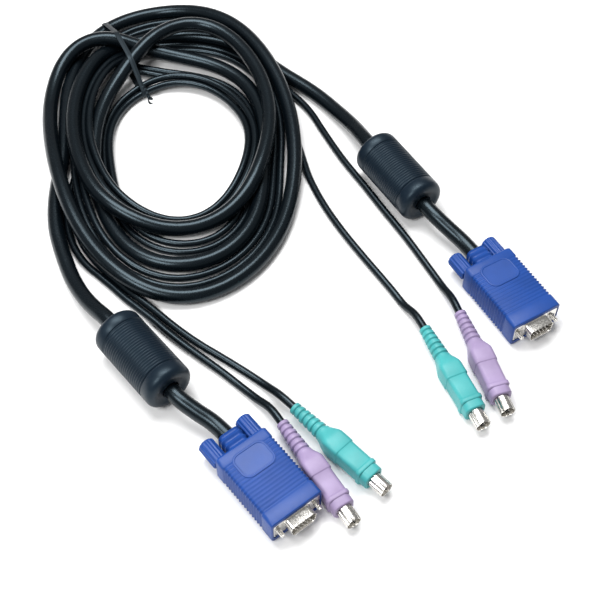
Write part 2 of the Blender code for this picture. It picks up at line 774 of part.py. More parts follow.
def make_tie():
    """A flat tie once round the coil, its two ends twisted together in the hole."""
    name = "cable_tie"
    reaches = [
        math.hypot(radii[0] * math.sin(TIE_ANGLE), radii[1] * math.cos(TIE_ANGLE))
        for radii in (COIL_OUTER_RADII, COIL_INNER_RADII)
    ]
    half = TIE_WIDTH / sum(reaches)
    edges = [
        coil_section(TIE_ANGLE - half, GAP),
        coil_section(TIE_ANGLE - half, GAP + TIE_THICKNESS),
        coil_section(TIE_ANGLE + half, GAP + TIE_THICKNESS),
        coil_section(TIE_ANGLE + half, GAP),
    ]
    tie = add_object(name, loft(name, edges, closed=True), "black_moulding")
    around = coil_section(TIE_ANGLE, GAP + TIE_THICKNESS / 2)
    centre = sum(around, Vector()) / len(around)
    hole = Vector((*COIL_INNER_CENTRE, centre.z))
    inner = min(around, key=lambda point: (point - hole).length)
    inward = Vector((inner.x - centre.x, inner.y - centre.y, 0)).normalized()
    start = Vector((inner.x, inner.y, centre.z))
    rings = []
    for step in range(TIE_TWIST_STEPS + 1):
        part = step / TIE_TWIST_STEPS
        turn = part * TIE_TWIST_TURNS * 2 * math.pi
        at = start + inward * TIE_TWIST_LENGTH * part
        at.z -= TIE_TWIST_DROP * part * part
        level = Vector((-inward.y, inward.x, 0))
        flat = level * math.cos(turn) + Vector((0, 0, math.sin(turn)))
        wide = flat * TIE_WIDTH / 2
        thin = inward.cross(flat) * TIE_THICKNESS
        rings.append([at + wide + thin, at - wide + thin, at - wide - thin, at + wide - thin])
    boolean(tie, loft(f"{name}_twist", rings), "UNION", None)


def smooth_route(points, spacing):
    """Points along a smooth curve through the route, at most a spacing apart."""
    ends = [points[0] * 2 - points[1], *points, points[-1] * 2 - points[-2]]
    route = []
    for before, start, end, after in zip(ends, ends[1:], ends[2:], ends[3:]):
        lengths = [
            math.sqrt(max((b - a).length, 1e-9))
            for a, b in ((before, start), (start, end), (end, after))
        ]
        first = (start - before) / lengths[0] - (end - before) / (lengths[0] + lengths[1])
        first = (first + (end - start) / lengths[1]) * lengths[1]
        last = (end - start) / lengths[1] - (after - start) / (lengths[1] + lengths[2])
        last = (last + (after - end) / lengths[2]) * lengths[1]
        steps = max(1, math.ceil((end - start).length / spacing))
        for step in range(steps):
            t = step / steps
            route.append(
                start * (2 * t**3 - 3 * t**2 + 1)
                + first * (t**3 - 2 * t**2 + t)
                + end * (3 * t**2 - 2 * t**3)
                + last * (t**3 - t**2)
            )
    return [*route, points[-1]]


def make_cord(name, points, diameter):
    """A tube along a route, its two ends filled."""
    curve = bpy.data.curves.new(name, "CURVE")
    curve.dimensions = "3D"
    curve.bevel_depth = diameter / 2
    curve.bevel_resolution = 2
    curve.use_fill_caps = True
    curve.render_resolution_u = 0
    route = smooth_route(points, diameter * CORD_STEP)
    spline = curve.splines.new("POLY")
    spline.points.add(len(route) - 1)
    for point, place in zip(spline.points, route):
        point.co = (*place, 1)
    spline.use_smooth = True
    add_object(name, curve, "black_cord")


def route_points(millimetres):
    return [Vector(point) * MM for point in millimetres]


def make_vga_cord(end):
    """The thick cord: out of the coil, straight through the choke, to the neck."""
    x, y, degrees = CHOKE_PLACES[end]
    choke = Vector((x, y, CHOKE_DIAMETER / 2))
    way = heading(degrees)
    half = CHOKE_LENGTH / 2
    through = [
        choke + way * along
        for along in (-half - CHOKE_LEAD, -half, -half / 3, half / 3, half, half + CHOKE_LEAD)
    ]
    x, y, degrees = VGA_PLACES[end]
    way = heading(degrees)
    neck = Vector((x, y, HOOD_THICKNESS / 2 + PANEL_PROUD))
    neck -= way * (HOOD_LENGTH + NECK_LENGTH + GAP)
    lead = [neck - way * NECK_LEAD, neck]
    points = route_points(COIL_TO_CHOKE[end]) + through + route_points(CHOKE_TO_VGA[end]) + lead
    make_cord(f"{end}_vga_cord", points, VGA_CORD_DIAMETER)


def make_thin_cord(end, use, place, route):
    """A thin cord from the coil into the back of its plug's boot."""
    x, y, degrees = place
    way = heading(degrees)
    boot = Vector((x, y, DIN_BODY_SIZE / 2)) - way * (DIN_BODY_LENGTH + BOOT_LENGTH + GAP)
    points = route_points(route) + [boot - way * PLUG_LEAD, boot]
    make_cord(f"{end}_{use}_cord", points, THIN_CORD_DIAMETER)


def build():
    for old in list(bpy.data.objects):
        bpy.data.objects.remove(old, do_unlink=True)
    make_coil()
    make_tie()
    for end in ("near", "far"):
        make_vga_plug(end)
        make_choke(end)
        make_din_plug(end, "keyboard", "purple", KEYBOARD_PLACES[end])
        make_din_plug(end, "mouse", "green", MOUSE_PLACES[end])
        make_vga_cord(end)
        make_thin_cord(end, "keyboard", KEYBOARD_PLACES[end], COIL_TO_KEYBOARD[end])
        make_thin_cord(end, "mouse", MOUSE_PLACES[end], COIL_TO_MOUSE[end])


build()
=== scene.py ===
"""The looks of the KVM cable: its wound cords, mouldings, plugs and finishes.

Sizes are in millimetres, apart from those of the lights and the floor, and are
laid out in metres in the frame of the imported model. Cords follow the routes of
the construction, and their turns are settled on each other here.
"""

import math

import bmesh
import bpy
import numpy as np
from mathutils import Matrix, Vector


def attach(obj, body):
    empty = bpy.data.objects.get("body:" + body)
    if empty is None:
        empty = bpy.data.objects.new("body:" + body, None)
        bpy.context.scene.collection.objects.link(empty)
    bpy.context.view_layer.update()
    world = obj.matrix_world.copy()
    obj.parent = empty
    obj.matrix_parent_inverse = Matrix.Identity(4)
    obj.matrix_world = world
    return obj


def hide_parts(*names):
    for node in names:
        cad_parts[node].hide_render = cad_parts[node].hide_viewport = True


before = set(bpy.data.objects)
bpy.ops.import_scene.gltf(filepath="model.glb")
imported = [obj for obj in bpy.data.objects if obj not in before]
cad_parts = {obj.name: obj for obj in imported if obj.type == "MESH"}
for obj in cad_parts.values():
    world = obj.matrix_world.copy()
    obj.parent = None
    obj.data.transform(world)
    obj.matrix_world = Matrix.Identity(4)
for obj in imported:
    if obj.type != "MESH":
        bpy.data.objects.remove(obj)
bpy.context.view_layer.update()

MM = 0.001

# Camera: the photograph looks down on the cable from in front of its plugs
CAMERA_AIM = Vector((-5, -41, 0)) * MM
CAMERA_DISTANCE = 700 * MM
CAMERA_ELEVATION = math.radians(54)
CAMERA_FOCUS = 1150 / 600  # focal length as a share of the frame's width
SENSOR_WIDTH = 36  # millimetres

# Light: a white room, a soft box overhead, a little behind the cable, and a
# weaker one in front of it on the left, placed and sized in metres
WORLD_STRENGTH = 0.28
OVERHEAD_PLACE = (-0.15, 0.35, 1.2)
OVERHEAD_SIZE = (0.9, 0.6)
OVERHEAD_POWER = 20
FRONT_PLACE = (-0.55, -0.5, 0.9)
FRONT_SIZE = (0.5, 0.35)
FRONT_POWER = 8

# Floor
FLOOR_HALF_WIDTH = 4  # metres
FLOOR_GREY = 0.9

# Finishes: base colours, from the darkest to the lightest, and roughness
COOL_TINT = (0.66, 0.87, 1)  # of what black PVC mirrors
JACKET_DARK = (0.0012, 0.0022, 0.0034)
JACKET_LIGHT = (0.002, 0.0036, 0.0052)
JACKET_ROUGHNESS = (0.22, 0.32)
TIE_BLACK = (0.008, 0.011, 0.014)
VIDEO_BLUE = (0.010, 0.055, 0.26)
KEYBOARD_PURPLE = (0.31, 0.24, 0.40)
MOUSE_GREEN = (0.055, 0.355, 0.36)
CHOKE_BLACK = (0.0035, 0.0085, 0.016)
INSULATOR_BLACK = (0.012, 0.012, 0.014)
NICKEL = (0.78, 0.76, 0.72)
FERRITE_DARK = (0.045, 0.045, 0.05)
FERRITE_LIGHT = (0.08, 0.08, 0.085)
NOISE_RANGE = (0.3, 0.7)  # the part of the noise's range that the ramps use

# Cords, in millimetres up to where they become curves
THICK = 10
THIN = 4.8
SIDE_BY_SIDE = (THICK + THIN) / 2  # centre to centre, across
LEVEL = (THICK - THIN) / 2  # centre to centre, up, where both lie on one surface
FINE_STEP = 4  # between the places that settle
CURVE_STEP = 3  # of those places to each point of the finished curve
CORD_FACETS = 5  # round a quarter of a cord, less one
CORD_STEPS = 5  # from one point of the curve to the next

# Sizes that the routes are built from, as the construction has them
HOOD_LENGTH = 50
HOOD_CENTRE = 9.85
NECK_LENGTH = 11
NECK_LEAD = 6
CHOKE_LENGTH = 56
CHOKE_CENTRE = 15
CHOKE_LEAD = 7
DIN_LENGTH = 62
DIN_CENTRE = 6.8
PLUG_LEAD = 9
GAP = 0.3

# Video plug, in millimetres along and across it
HOOD_WIDTH = 33.54
HOOD_THICKNESS = 19
HOOD_CORNER = 2.2
HOOD_EDGE = 0.7
HOOD_REAR_ROUND = 1.5
FRONT_COLLAR = 8.5
REAR_COLLAR = 7
RIB_PITCH = 2.3
SIDE_RIB_DEPTH = 0.75
TOP_RIB_DEPTH = 0.25
NECK_WIDTH = 14
NECK_THICKNESS = 14.6
NECK_CORNER = 3
NECK_HUMPS = 3
NECK_HUMP_DEPTH = 0.7
ARCH_WIDTH = 22
ARCH_LENGTH = 17
ARCH_FROM_SHOULDER = 4.5
ARCH_PROUD = 0.35
ARCH_CORNER = 5.5
FLANGE_WIDTH = 30.84
FLANGE_HEIGHT = 12.5
FLANGE_THICKNESS = 0.9
FLANGE_CORNER = 1.6
FLANGE_EDGE = 0.15
FLANGE_FRONT = -0.2
SHELL_WIDTH = 16.9
SHELL_HEIGHT = 8.3
SHELL_CORNER = 2.2
SHELL_WALL = 0.45
SHELL_REACH = 6
SHELL_SLANT = math.radians(10)
INSULATOR_BACK = -5.7
INSULATOR_FACE = 0.7
PIN_ROWS = 3
PINS_A_ROW = 5
PIN_PITCH = 2.29
PIN_ROW_PITCH = 1.98
PIN_DIAMETER = 0.76
PIN_REACH = 5.3
PIN_COLLAR = [(-0.1, 0.75), (0.12, 0.72), (0.15, 0.6)]  # from the face, and radius

# Thumbscrews
SCREW_SPACING = 25
SCREW_DIAMETER = 2.84
SCREW_REACH = 4.6
SCREW_IN_KNOB = 8
SCREW_CLEARANCE = 0.35
THREAD_PITCH = 0.635
THREAD_DEPTH = 0.32
THREAD_LENGTH = 4
KNOB_DIAMETER = 10
KNOB_LENGTH = 15
KNOB_ROUND = 1.3
KNOB_FLUTES = 12
KNOB_FLUTE_DEPTH = 0.45
KNOB_SIDES = 96
KNOB_DISH = (2.2, 2.6, 0.35)  # inset of its rim and floor, and depth

# Ferrite choke's cover
CHOKE_DIAMETER = 30
CHOKE_END_ROUND = 4
CHOKE_BAND = 5
CHOKE_GROOVE_WIDTH = 1.4
CHOKE_GROOVE_DEPTH = 0.7
CHOKE_RIBS = 20
CHOKE_RIB_DEPTH = 0.4
CHOKE_BORE = 10.8
CHOKE_BORE_EDGE = 0.4
CORE_DIAMETER = 21
CORE_LENGTH = 34

# Keyboard and mouse plugs
DIN_BODY_SIZE = 13.6
DIN_BODY_LENGTH = 40
DIN_BODY_CORNER = 2.6
DIN_NOSE_LENGTH = 5
DIN_NOSE_SIZE = 12.6
DIN_NOSE_CORNER = 4.2
DIN_EDGE = 0.8
DIN_COLLAR = 1.6
DIN_GRIP_LENGTH = 15
DIN_GRIP_INSET = 0.5
DIN_TAPER_LENGTH = 9
DIN_STEPS = 4  # in each eased change of size
BOOT_LENGTH = 22
BOOT_FRONT = 9.8
BOOT_REAR = 7.2
BOOT_RINGS = 6
BOOT_GROOVE = 1
DIN_SHELL_DIAMETER = 9
DIN_SHELL_WALL = 0.45
DIN_SHELL_REACH = 9.5
DIN_SHELL_SEAT = 3
DIN_KEYS = (math.radians(-90), math.radians(35), math.radians(145))
DIN_KEY_WIDTH = math.radians(17)
DIN_KEY_DEPTH = 0.6
DIN_FACE = 1.2
DIN_PIN_DIAMETER = 0.9
DIN_PIN_REACH = 7.6
DIN_PIN_CIRCLE = 5.4
DIN_PIN_ANGLES = (62, 118, 5, 175, -48, -132)
DIN_TAB = (2, 1, 8.2)  # width, height and reach

CORNER_STEPS = 8  # facets round a corner, where no other count is given

# Tools that cut holes reach this far past what they cut
TOOL_REACH = 60
PLATE_TOOL_REACH = 3

# Tie
TIE_WIDTH = 3.4
TIE_THICKNESS = 0.9
TIE_TWIST_LENGTH = 13
TIE_TWIST_TURNS = 2
TIE_TWIST_DROP = 3
TIE_TWIST_STEPS = 48
TIE_SLACK = 0.15  # between the tie and what it holds
TIE_STEP = 1.2  # between the sections of its loop
TIE_ROUNDING = 3  # passes over the loop
TIE_TWIST_START = 0.4  # how far inside the loop the ends begin
TIE_TWIST_SIZE = (0.75, 0.9)  # share of the loop's width and thickness
TIE_END_APART = 0.45  # of each end from the twist's middle line
TIE_END_SPLAY = 1.6  # more than that at the very tips
TIE_SPLAY_FROM = 0.75  # share of the twist where the tips start to part

# Where plugs and chokes lie: x, y and the way they point, in degrees from +X
VGA_PLACES = {"near": (-6.5, -189, -51.5), "far": (133.5, -66, -59.5)}
CHOKE_PLACES = {"near": (-95, -93, -50), "far": (58, 47, -58)}
KEYBOARD_PLACES = {"near": (18.5, -183.5, -57.5), "far": (109, -115, -72.5)}
MOUSE_PLACES = {"near": (35, -165.5, -46), "far": (93.5, -124, -66.5)}

# Routes from the coil outwards, in millimetres, as in the construction
COIL_TO_CHOKE = {
    "near": [(-157.5, 5.9, 5), (-154.6, -3, 5), (-144, -29, 6.2), (-132, -49, 9.8)],
    "far": [(-21.7, 156.6, 5), (5.5, 132, 5), (20, 114, 6.2), (31, 96, 9.8)],
}
CHOKE_TO_VGA = {"near": [(-60.5, -128.3, 12.2)], "far": [(88.2, 4.3, 12.2)]}
COIL_TO_KEYBOARD = {
    "near": [
        (-125.4, -27.2, 2.4), (-108.7, -43.7, 2.4), (-96, -54.5, 2.4), (-84, -66, 2.4),
        (-71, -77.5, 2.4), (-58, -88, 2.4), (-45, -99, 2.4), (-33, -110, 2.8),
    ],
    "far": [
        (-18.7, 143.7, 2.4), (-0.5, 121.5, 2.4), (12, 96, 2.4), (24, 72, 2.4),
        (36, 51.5, 2.4), (49, 28.5, 2.4), (62, 6, 2.4), (73, -15, 2.4),
        (81.5, -32, 2.8),
    ],
}
COIL_TO_MOUSE = {
    "near": [
        (-104.9, -39.8, 2.4), (-92, -51.2, 2.4), (-80.3, -62, 2.4), (-67, -73, 2.4),
        (-53.5, -82.5, 2.4), (-40, -92, 2.4), (-27, -102, 2.8),
    ],
    "far": [
        (-3.8, 76, 2.4), (1, 57, 2.4), (10, 34, 2.4), (22, 11, 2.4), (35.5, -11, 2.4),
        (49, -32, 2.4), (59, -48.5, 2.8),
    ],
}

# Coil: an outer and an inner oval, seen from above, as in the construction
COIL_OUTER_CENTRE = np.array((-92, 86))
COIL_OUTER_RADII = (86, 130)
COIL_OUTER_LEAN = -13
COIL_INNER_CENTRE = np.array((-83.5, 71.5))
COIL_INNER_RADII = (46.5, 56.5)
TIE_DEGREES = 120

# How the thick cord is wound: angle that runs clockwise, depth in from the
# coil's outer edge, height, how far the second thin cord is turned up on the
# first (0 beside it, 90 on top of it), and how far both have strayed inwards
WINDING = [
    (205, 4, 5, 0, 0), (190, 19, 5, 0, 0), (175, 27, 5, 0, 0), (160, 28, 5, 0, 0),
    (148, 22, 5, 0, 0), (135, 9, 5, 0, 0), (120, 3, 6, 0, 0), (95, 1, 5, 0, 0),
    (82, 1, 8, 30, 0), (68, 2, 14, 60, 0), (50, 4, 15, 60, 2), (35, 5, 14, 60, 5),
    (15, 4, 11, 90, 9), (0, 4, 10, 90, 9), (-15, 4, 7, 90, 9), (-30, 4, 5, 60, 3),
    (-60, 1, 5, 0, 2), (-90, -3, 5, 0, 3.6), (-104, -2, 8, 0, 2), (-118, 2, 11, 30, 0),
    (-132, 6, 12, 60, 0), (-145, 9, 15, 60, 0), (-160, 12, 15, 60, 0),
    (-175, 13, 12, 90, 5), (-188, 11, 7, 90, 10), (-197, 8, 5, 90, 11),
    (-208, 6, 5, 60, 8), (-217, 6, 9, 30, 3), (-228, 12, 15, 0, 0),
    (-240, 34, 12, 0, 0), (-255, 50, 6, 0, 0), (-270, 55, 5, 0, 0),
    (-285, 51, 5, 0, 0), (-300, 43, 5, 0, 0), (-315, 33, 5, 30, 0),
    (-330, 28, 5, 50, 0), (-345, 27, 5, 80, 0), (-360, 27, 5, 90, 0),
    (-375, 26, 5, 90, 0), (-390, 23, 5, 60, 0), (-420, 22, 5, 20, 2),
    (-450, 24, 5, 0, 5), (-470, 23, 5, 30, 5), (-485, 25, 5, 60, 3),
    (-497, 27, 5, 90, 1), (-510, 28, 5, 90, 0), (-525, 31, 5, 90, 0),
    (-540, 34, 5, 90, 0), (-555, 38, 5, 90, 0), (-570, 42, 5, 60, 0),
    (-585, 44, 5, 30, 4), (-600, 43, 7, 0, 12), (-612, 38, 13, 0, 22),
    (-624, 30, 15, 0, 31), (-636, 21, 15, 0, 39), (-648, 13, 15, 0, 45),
    (-660, 11, 15, 0, 41), (-675, 13, 15, 0, 31), (-690, 16, 15, 0, 17),
    (-705, 19, 15, 60, 6), (-720, 22, 15, 60, 0), (-735, 24, 15, 60, 0),
    (-750, 30, 12, 60, 0), (-765, 38, 8, 60, 0), (-780, 46, 6, 80, 0),
    (-795, 51.5, 5, 90, 0), (-810, 52, 5, 90, 0), (-825, 49, 6, 80, 0),
    (-840, 42, 12, 60, 0), (-855, 32, 15, 30, 0), (-870, 26, 15, 30, 0),
    (-890, 25, 15, 30, 0), (-920, 26, 15, 30, 0), (-950, 26, 14, 30, 0),
    (-968, 27, 8, 0, 0), (-985, 28, 5, 0, 0), (-1000, 24, 5, 0, 0),
    (-1015, 15, 5, 0, 0), (-1030, 4, 5, 0, 0), (-1042, -1, 5, 0, 0),
]
# Where each thin cord leaves the bundle for its own plug, at the start and
# the end of the winding: angle, depth and height
KEYBOARD_START = [(236, -1.5, 2.4), (226, -3, 2.4), (216, 3, 2.4), (206, 10, 2.4)]
KEYBOARD_END = [(-1018, 19, 2.4), (-1034, 11, 2.4), (-1048, 3, 2.4)]
MOUSE_START = [(244, 1.5, 2.4), (236, 3.5, 2.4), (226, 3, 2.4), (216, 8, 2.4), (206, 15, 2.4)]
MOUSE_END = [(-1018, 26, 2.4), (-1038, 18, 2.4), (-1058, 9, 2.4), (-1074, 3, 2.4)]
BUNDLE_DEGREES = {"keyboard": (198, -1002), "mouse": (196, -1002)}
WINDING_STEP = 5  # degrees
# How far the two thin cords lie from each other: angle and gap
THIN_APART = [
    (-50, 0), (-75, 2.2), (-100, 2.2), (-120, 0), (-410, 0), (-435, 2.2), (-465, 2.2),
    (-485, 0),
]

# Settling
GUIDE_SMOOTHING = 36  # passes that round the winding off first
SETTLE_ROUNDS = 420
SETTLE_FINISH = 120  # of them without weight, so that the last overlaps clear
SETTLE_REFRESH = 15
SETTLE_DROP = 0.12  # millimetres that the weight sinks a cord in one round
SETTLE_GUIDE = 0.006  # share of the way back to its guide, seen from above
SETTLE_STIFFNESS = 6  # smoothing passes over the shifts in one round
SETTLE_REACH = 3  # how far apart two places may be and still be watched
SETTLE_PUSHES = 2.2  # contacts of one place whose pushes add up in full
SETTLE_EASE = 8  # places at each end of the coil over which a cord comes free
NEIGHBOURS = 8  # places along one cord that don't push each other
NEARLY_NONE = 1e-6
ROUTE_STEP = 2  # between the points of a route before it settles
TIE_UNDER = 1.2  # how high the tie lifts the cords off the floor
TIE_REACH = 26  # how far along the cords that lift fades out
TIE_LIFT_SLOPE = 1.5
TIE_MIDDLE_DEPTH = 40  # in from the coil's outer edge
TIE_HALF_SPAN = 60
TIE_DEPTHS = (-10, 100)  # between which the tie looks for cords


def smooth_route(points, spacing):
    """Points along a smooth curve through the route, at most a spacing apart."""
    ends = [points[0] * 2 - points[1], *points, points[-1] * 2 - points[-2]]
    route = []
    for before, start, end, after in zip(ends, ends[1:], ends[2:], ends[3:]):
        lengths = [
            math.sqrt(max((b - a).length, 1e-9))
            for a, b in ((before, start), (start, end), (end, after))
        ]
        first = (start - before) / lengths[0] - (end - before) / (lengths[0] + lengths[1])
        first = (first + (end - start) / lengths[1]) * lengths[1]
        last = (end - start) / lengths[1] - (after - start) / (lengths[1] + lengths[2])
        last = (last + (after - end) / lengths[2]) * lengths[1]
        steps = max(1, math.ceil((end - start).length / spacing))
        for step in range(steps):
            t = step / steps
            route.append(
                start * (2 * t**3 - 3 * t**2 + 1)
                + first * (t**3 - 2 * t**2 + t)
                + end * (3 * t**2 - 2 * t**3)
                + last * (t**3 - t**2)
            )
    return [*route, points[-1]]


def heading(degrees):
    angle = math.radians(degrees)
    return Vector((math.cos(angle), math.sin(angle), 0))


def in_coil(degrees, depth, height):
    """A point that lies so deep in from the coil's outer edge."""
    angle = math.radians(degrees)
    cos, sin = math.cos(angle), math.sin(angle)
    outer = COIL_OUTER_CENTRE + (
        COIL_OUTER_RADII[0] * cos + COIL_OUTER_LEAN * sin,
        COIL_OUTER_RADII[1] * sin,
    )
    inner = COIL_INNER_CENTRE + (COIL_INNER_RADII[0] * cos, COIL_INNER_RADII[1] * sin)
    inward = (inner - outer) / np.linalg.norm(inner - outer)
    return Vector((*(outer + inward * depth), height))


def wound(first, last, beside=0, turned=False):
    """Points of the winding between two angles, of the thick or a thin cord."""
    table = np.array(WINDING, float)
    points = []
    for degrees in np.arange(first, last, -WINDING_STEP):
        depth, height, stack, strayed = (
            np.interp(-degrees, -table[:, 0], column) for column in table[:, 1:].T
        )
        if beside:
            depth += SIDE_BY_SIDE + strayed
            height -= LEVEL
        if turned:
            angles, gaps = np.array(THIN_APART, float).T
            apart = np.interp(-degrees, -angles, gaps)
            depth += (THIN + apart) * math.cos(math.radians(stack))
            height += THIN * math.sin(math.radians(stack))
        points.append(in_coil(degrees, depth, height))
    return points


def thick_tail(end):
    """From the coil through the choke to the video plug's neck."""
    x, y, degrees = CHOKE_PLACES[end]
    choke = Vector((x, y, CHOKE_CENTRE))
    half = CHOKE_LENGTH / 2
    through = [
        choke + heading(degrees) * along
        for along in (-half - CHOKE_LEAD, -half, -half / 3, half / 3, half, half + CHOKE_LEAD)
    ]
    x, y, degrees = VGA_PLACES[end]
    neck = Vector((x, y, HOOD_CENTRE)) - heading(degrees) * (HOOD_LENGTH + NECK_LENGTH + GAP)
    route = [Vector(point) for point in COIL_TO_CHOKE[end]] + through
    route += [Vector(point) for point in CHOKE_TO_VGA[end]]
    return [*route, neck - heading(degrees) * NECK_LEAD, neck]


def thin_tail(place, route):
    """From the coil into the back of a keyboard or mouse plug's boot."""
    x, y, degrees = place
    boot = Vector((x, y, DIN_CENTRE)) - heading(degrees) * (DIN_LENGTH + GAP)
    return [*[Vector(point) for point in route], boot - heading(degrees) * PLUG_LEAD, boot]


def evenly(points, step):
    """The same line with a point every step, as rows of an array."""
    line = np.array([tuple(point) for point in points])
    run = np.concatenate(([0], np.cumsum(np.linalg.norm(np.diff(line, axis=0), axis=1))))
    stations = np.linspace(0, run[-1], max(2, round(run[-1] / step)) + 1)
    return np.stack([np.interp(stations, run, line[:, axis]) for axis in range(3)], axis=1)


class Strand:
    """One cord's line before and after settling, and where it may move."""

    def __init__(self, name, diameter, near, middle, far):
        self.name = name
        self.diameter = diameter
        points = smooth_route([*reversed(near), *middle, *far], ROUTE_STEP)
        self.line = evenly(points, FINE_STEP)
        start = np.linalg.norm(self.line - np.array(near[0]), axis=1).argmin()
        end = np.linalg.norm(self.line - np.array(far[0]), axis=1).argmin()
        along = np.arange(len(self.line))
        self.free = np.clip(np.minimum(along - start, end - along) / SETTLE_EASE, 0, 1)
        for _ in range(GUIDE_SMOOTHING):
            bend = self.line[:-2] - 2 * self.line[1:-1] + self.line[2:]
            self.line[1:-1] += bend / 4 * self.free[1:-1, None]


def make_strands():
    thick = Strand(
        "vga",
        THICK,
        thick_tail("near"),
        wound(WINDING[0][0], WINDING[-1][0] - 1),
        thick_tail("far"),
    )
    strands = [thick]
    for use, places, routes, start, end in (
        ("keyboard", KEYBOARD_PLACES, COIL_TO_KEYBOARD, KEYBOARD_START, KEYBOARD_END),
        ("mouse", MOUSE_PLACES, COIL_TO_MOUSE, MOUSE_START, MOUSE_END),
    ):
        middle = [in_coil(*row) for row in start]
        middle += wound(*BUNDLE_DEGREES[use], beside=True, turned=use == "mouse")
        middle += [in_coil(*row) for row in end]
        near, far = (thin_tail(places[e], routes[e]) for e in ("near", "far"))
        strands.append(Strand(use, THIN, near, middle, far))
    return strands


def near_pairs(place, radius, owner, order, reach):
    """Pairs of places close enough to touch soon, but not neighbours on a cord."""
    firsts, seconds = [], []
    for i in range(len(place)):
        apart = place - place[i]
        limit = radius + radius[i] + reach
        close = (apart * apart).sum(axis=1) < limit * limit
        close &= (owner != owner[i]) | (np.abs(order - order[i]) > NEIGHBOURS)
        found = np.nonzero(close)[0]
        firsts.append(np.full(len(found), i))
        seconds.append(found)
    return np.concatenate(firsts), np.concatenate(seconds)


def settle(strands):
    """Sinks the wound cords and pushes them apart, each shift smooth along its cord."""
    guide = np.concatenate([strand.line for strand in strands])
    counts = [len(strand.line) for strand in strands]
    radius = np.repeat([strand.diameter / 2 for strand in strands], counts)
    owner = np.repeat(range(len(strands)), counts)
    order = np.concatenate([np.arange(count) for count in counts])
    free = np.concatenate([strand.free for strand in strands])[:, None]
    edges = np.cumsum([0, *counts])
    tie = np.array(in_coil(TIE_DEGREES, TIE_MIDDLE_DEPTH, 0))[:2]
    inward = np.array(in_coil(TIE_DEGREES, TIE_MIDDLE_DEPTH + 1, 0))[:2] - tie
    across = np.array((-inward[1], inward[0]))
    shift = np.zeros_like(guide)
    for turn in range(SETTLE_ROUNDS):
        place = guide + shift
        if turn % SETTLE_REFRESH == 0:
            first, second = near_pairs(place, radius, owner, order, SETTLE_REACH)
        tangent = np.gradient(place, axis=0)
        tangent[edges[1:-1]] = tangent[edges[1:-1] + 1]
        tangent[edges[1:-1] - 1] = tangent[edges[1:-1] - 2]
        tangent /= np.linalg.norm(tangent, axis=1)[:, None]
        apart = place[first] - place[second]
        along = (apart * tangent[second]).sum(axis=1)
        along = np.clip(along, -FINE_STEP / 2, FINE_STEP / 2)
        apart -= along[:, None] * tangent[second]
        distance = np.linalg.norm(apart, axis=1) + NEARLY_NONE
        short = radius[first] + radius[second] - distance
        touching = short > 0
        push = np.zeros_like(place)
        weight = np.full(len(place), NEARLY_NONE)
        force = apart[touching] / distance[touching, None] * short[touching, None] / 2
        np.add.at(push, first[touching], force)
        np.add.at(weight, first[touching], 1)
        push *= np.minimum(1, SETTLE_PUSHES / weight)[:, None]
        shift += push * free
        if turn < SETTLE_ROUNDS - SETTLE_FINISH:
            shift[:, 2] -= SETTLE_DROP * free[:, 0]
            shift[:, :2] *= 1 - SETTLE_GUIDE
        for _ in range(SETTLE_STIFFNESS):
            for start, end in zip(edges, edges[1:]):
                own = shift[start:end]
                bend = own[:-2] - 2 * own[1:-1] + own[2:]
                own[1:-1] += bend / 4 * free[start + 1 : end - 1]
        from_tie = (guide + shift)[:, :2] - tie
        off = np.abs(from_tie @ across) / TIE_REACH
        near_tie = (off < 1) & (np.abs(from_tie @ inward) < TIE_HALF_SPAN)
        lift = np.where(near_tie, TIE_UNDER * (1 - off) * TIE_LIFT_SLOPE, 0)
        floor = radius + lift.clip(0, TIE_UNDER)
        low = (guide + shift)[:, 2] < floor
        shift[low, 2] = (floor - guide[:, 2])[low]
    place = guide + shift
    for strand, start, end in zip(strands, edges, edges[1:]):
        strand.line = place[start:end]


def add_object(name, data):
    added = bpy.data.objects.new(name, data)
    bpy.context.scene.collection.objects.link(added)
    return added


def make_camera():
    data = bpy.data.cameras.new("camera")
    data.sensor_width = SENSOR_WIDTH
    data.lens = SENSOR_WIDTH * CAMERA_FOCUS
    camera = add_object("camera", data)
    back = Vector((0, -math.cos(CAMERA_ELEVATION), math.sin(CAMERA_ELEVATION)))
    camera.location = CAMERA_AIM + back * CAMERA_DISTANCE
    camera.rotation_euler = back.to_track_quat("Z", "Y").to_euler()
    bpy.context.scene.camera = camera


def make_floor():
    mesh = bpy.data.meshes.new("floor")
    half = FLOOR_HALF_WIDTH
    corners = [(-half, -half, 0), (half, -half, 0), (half, half, 0), (-half, half, 0)]
    mesh.from_pydata(corners, [], [(0, 1, 2, 3)])
    floor = add_object("floor", mesh)
    material = bpy.data.materials.new("floor")
    material.use_nodes = True
    shader = material.node_tree.nodes["Principled BSDF"]
    shader.inputs["Base Color"].default_value = (FLOOR_GREY, FLOOR_GREY, FLOOR_GREY, 1)
    shader.inputs["Roughness"].default_value = 0.9
    mesh.materials.append(material)


def make_light(name, place, size, power):
    data = bpy.data.lights.new(name, "AREA")
    data.shape = "RECTANGLE"
    data.size, data.size_y = size
    data.energy = power
    light = add_object(name, data)
    light.location = place
    light.rotation_euler = Vector(place).to_track_quat("Z", "Y").to_euler()


def make_lights():
    world = bpy.data.worlds.new("studio")
    world.use_nodes = True
    world.node_tree.nodes["Background"].inputs["Color"].default_value = (1, 1, 1, 1)
    world.node_tree.nodes["Background"].inputs["Strength"].default_value = WORLD_STRENGTH
    bpy.context.scene.world = world
    make_light("overhead", OVERHEAD_PLACE, OVERHEAD_SIZE, OVERHEAD_POWER)
    make_light("front", FRONT_PLACE, FRONT_SIZE, FRONT_POWER)


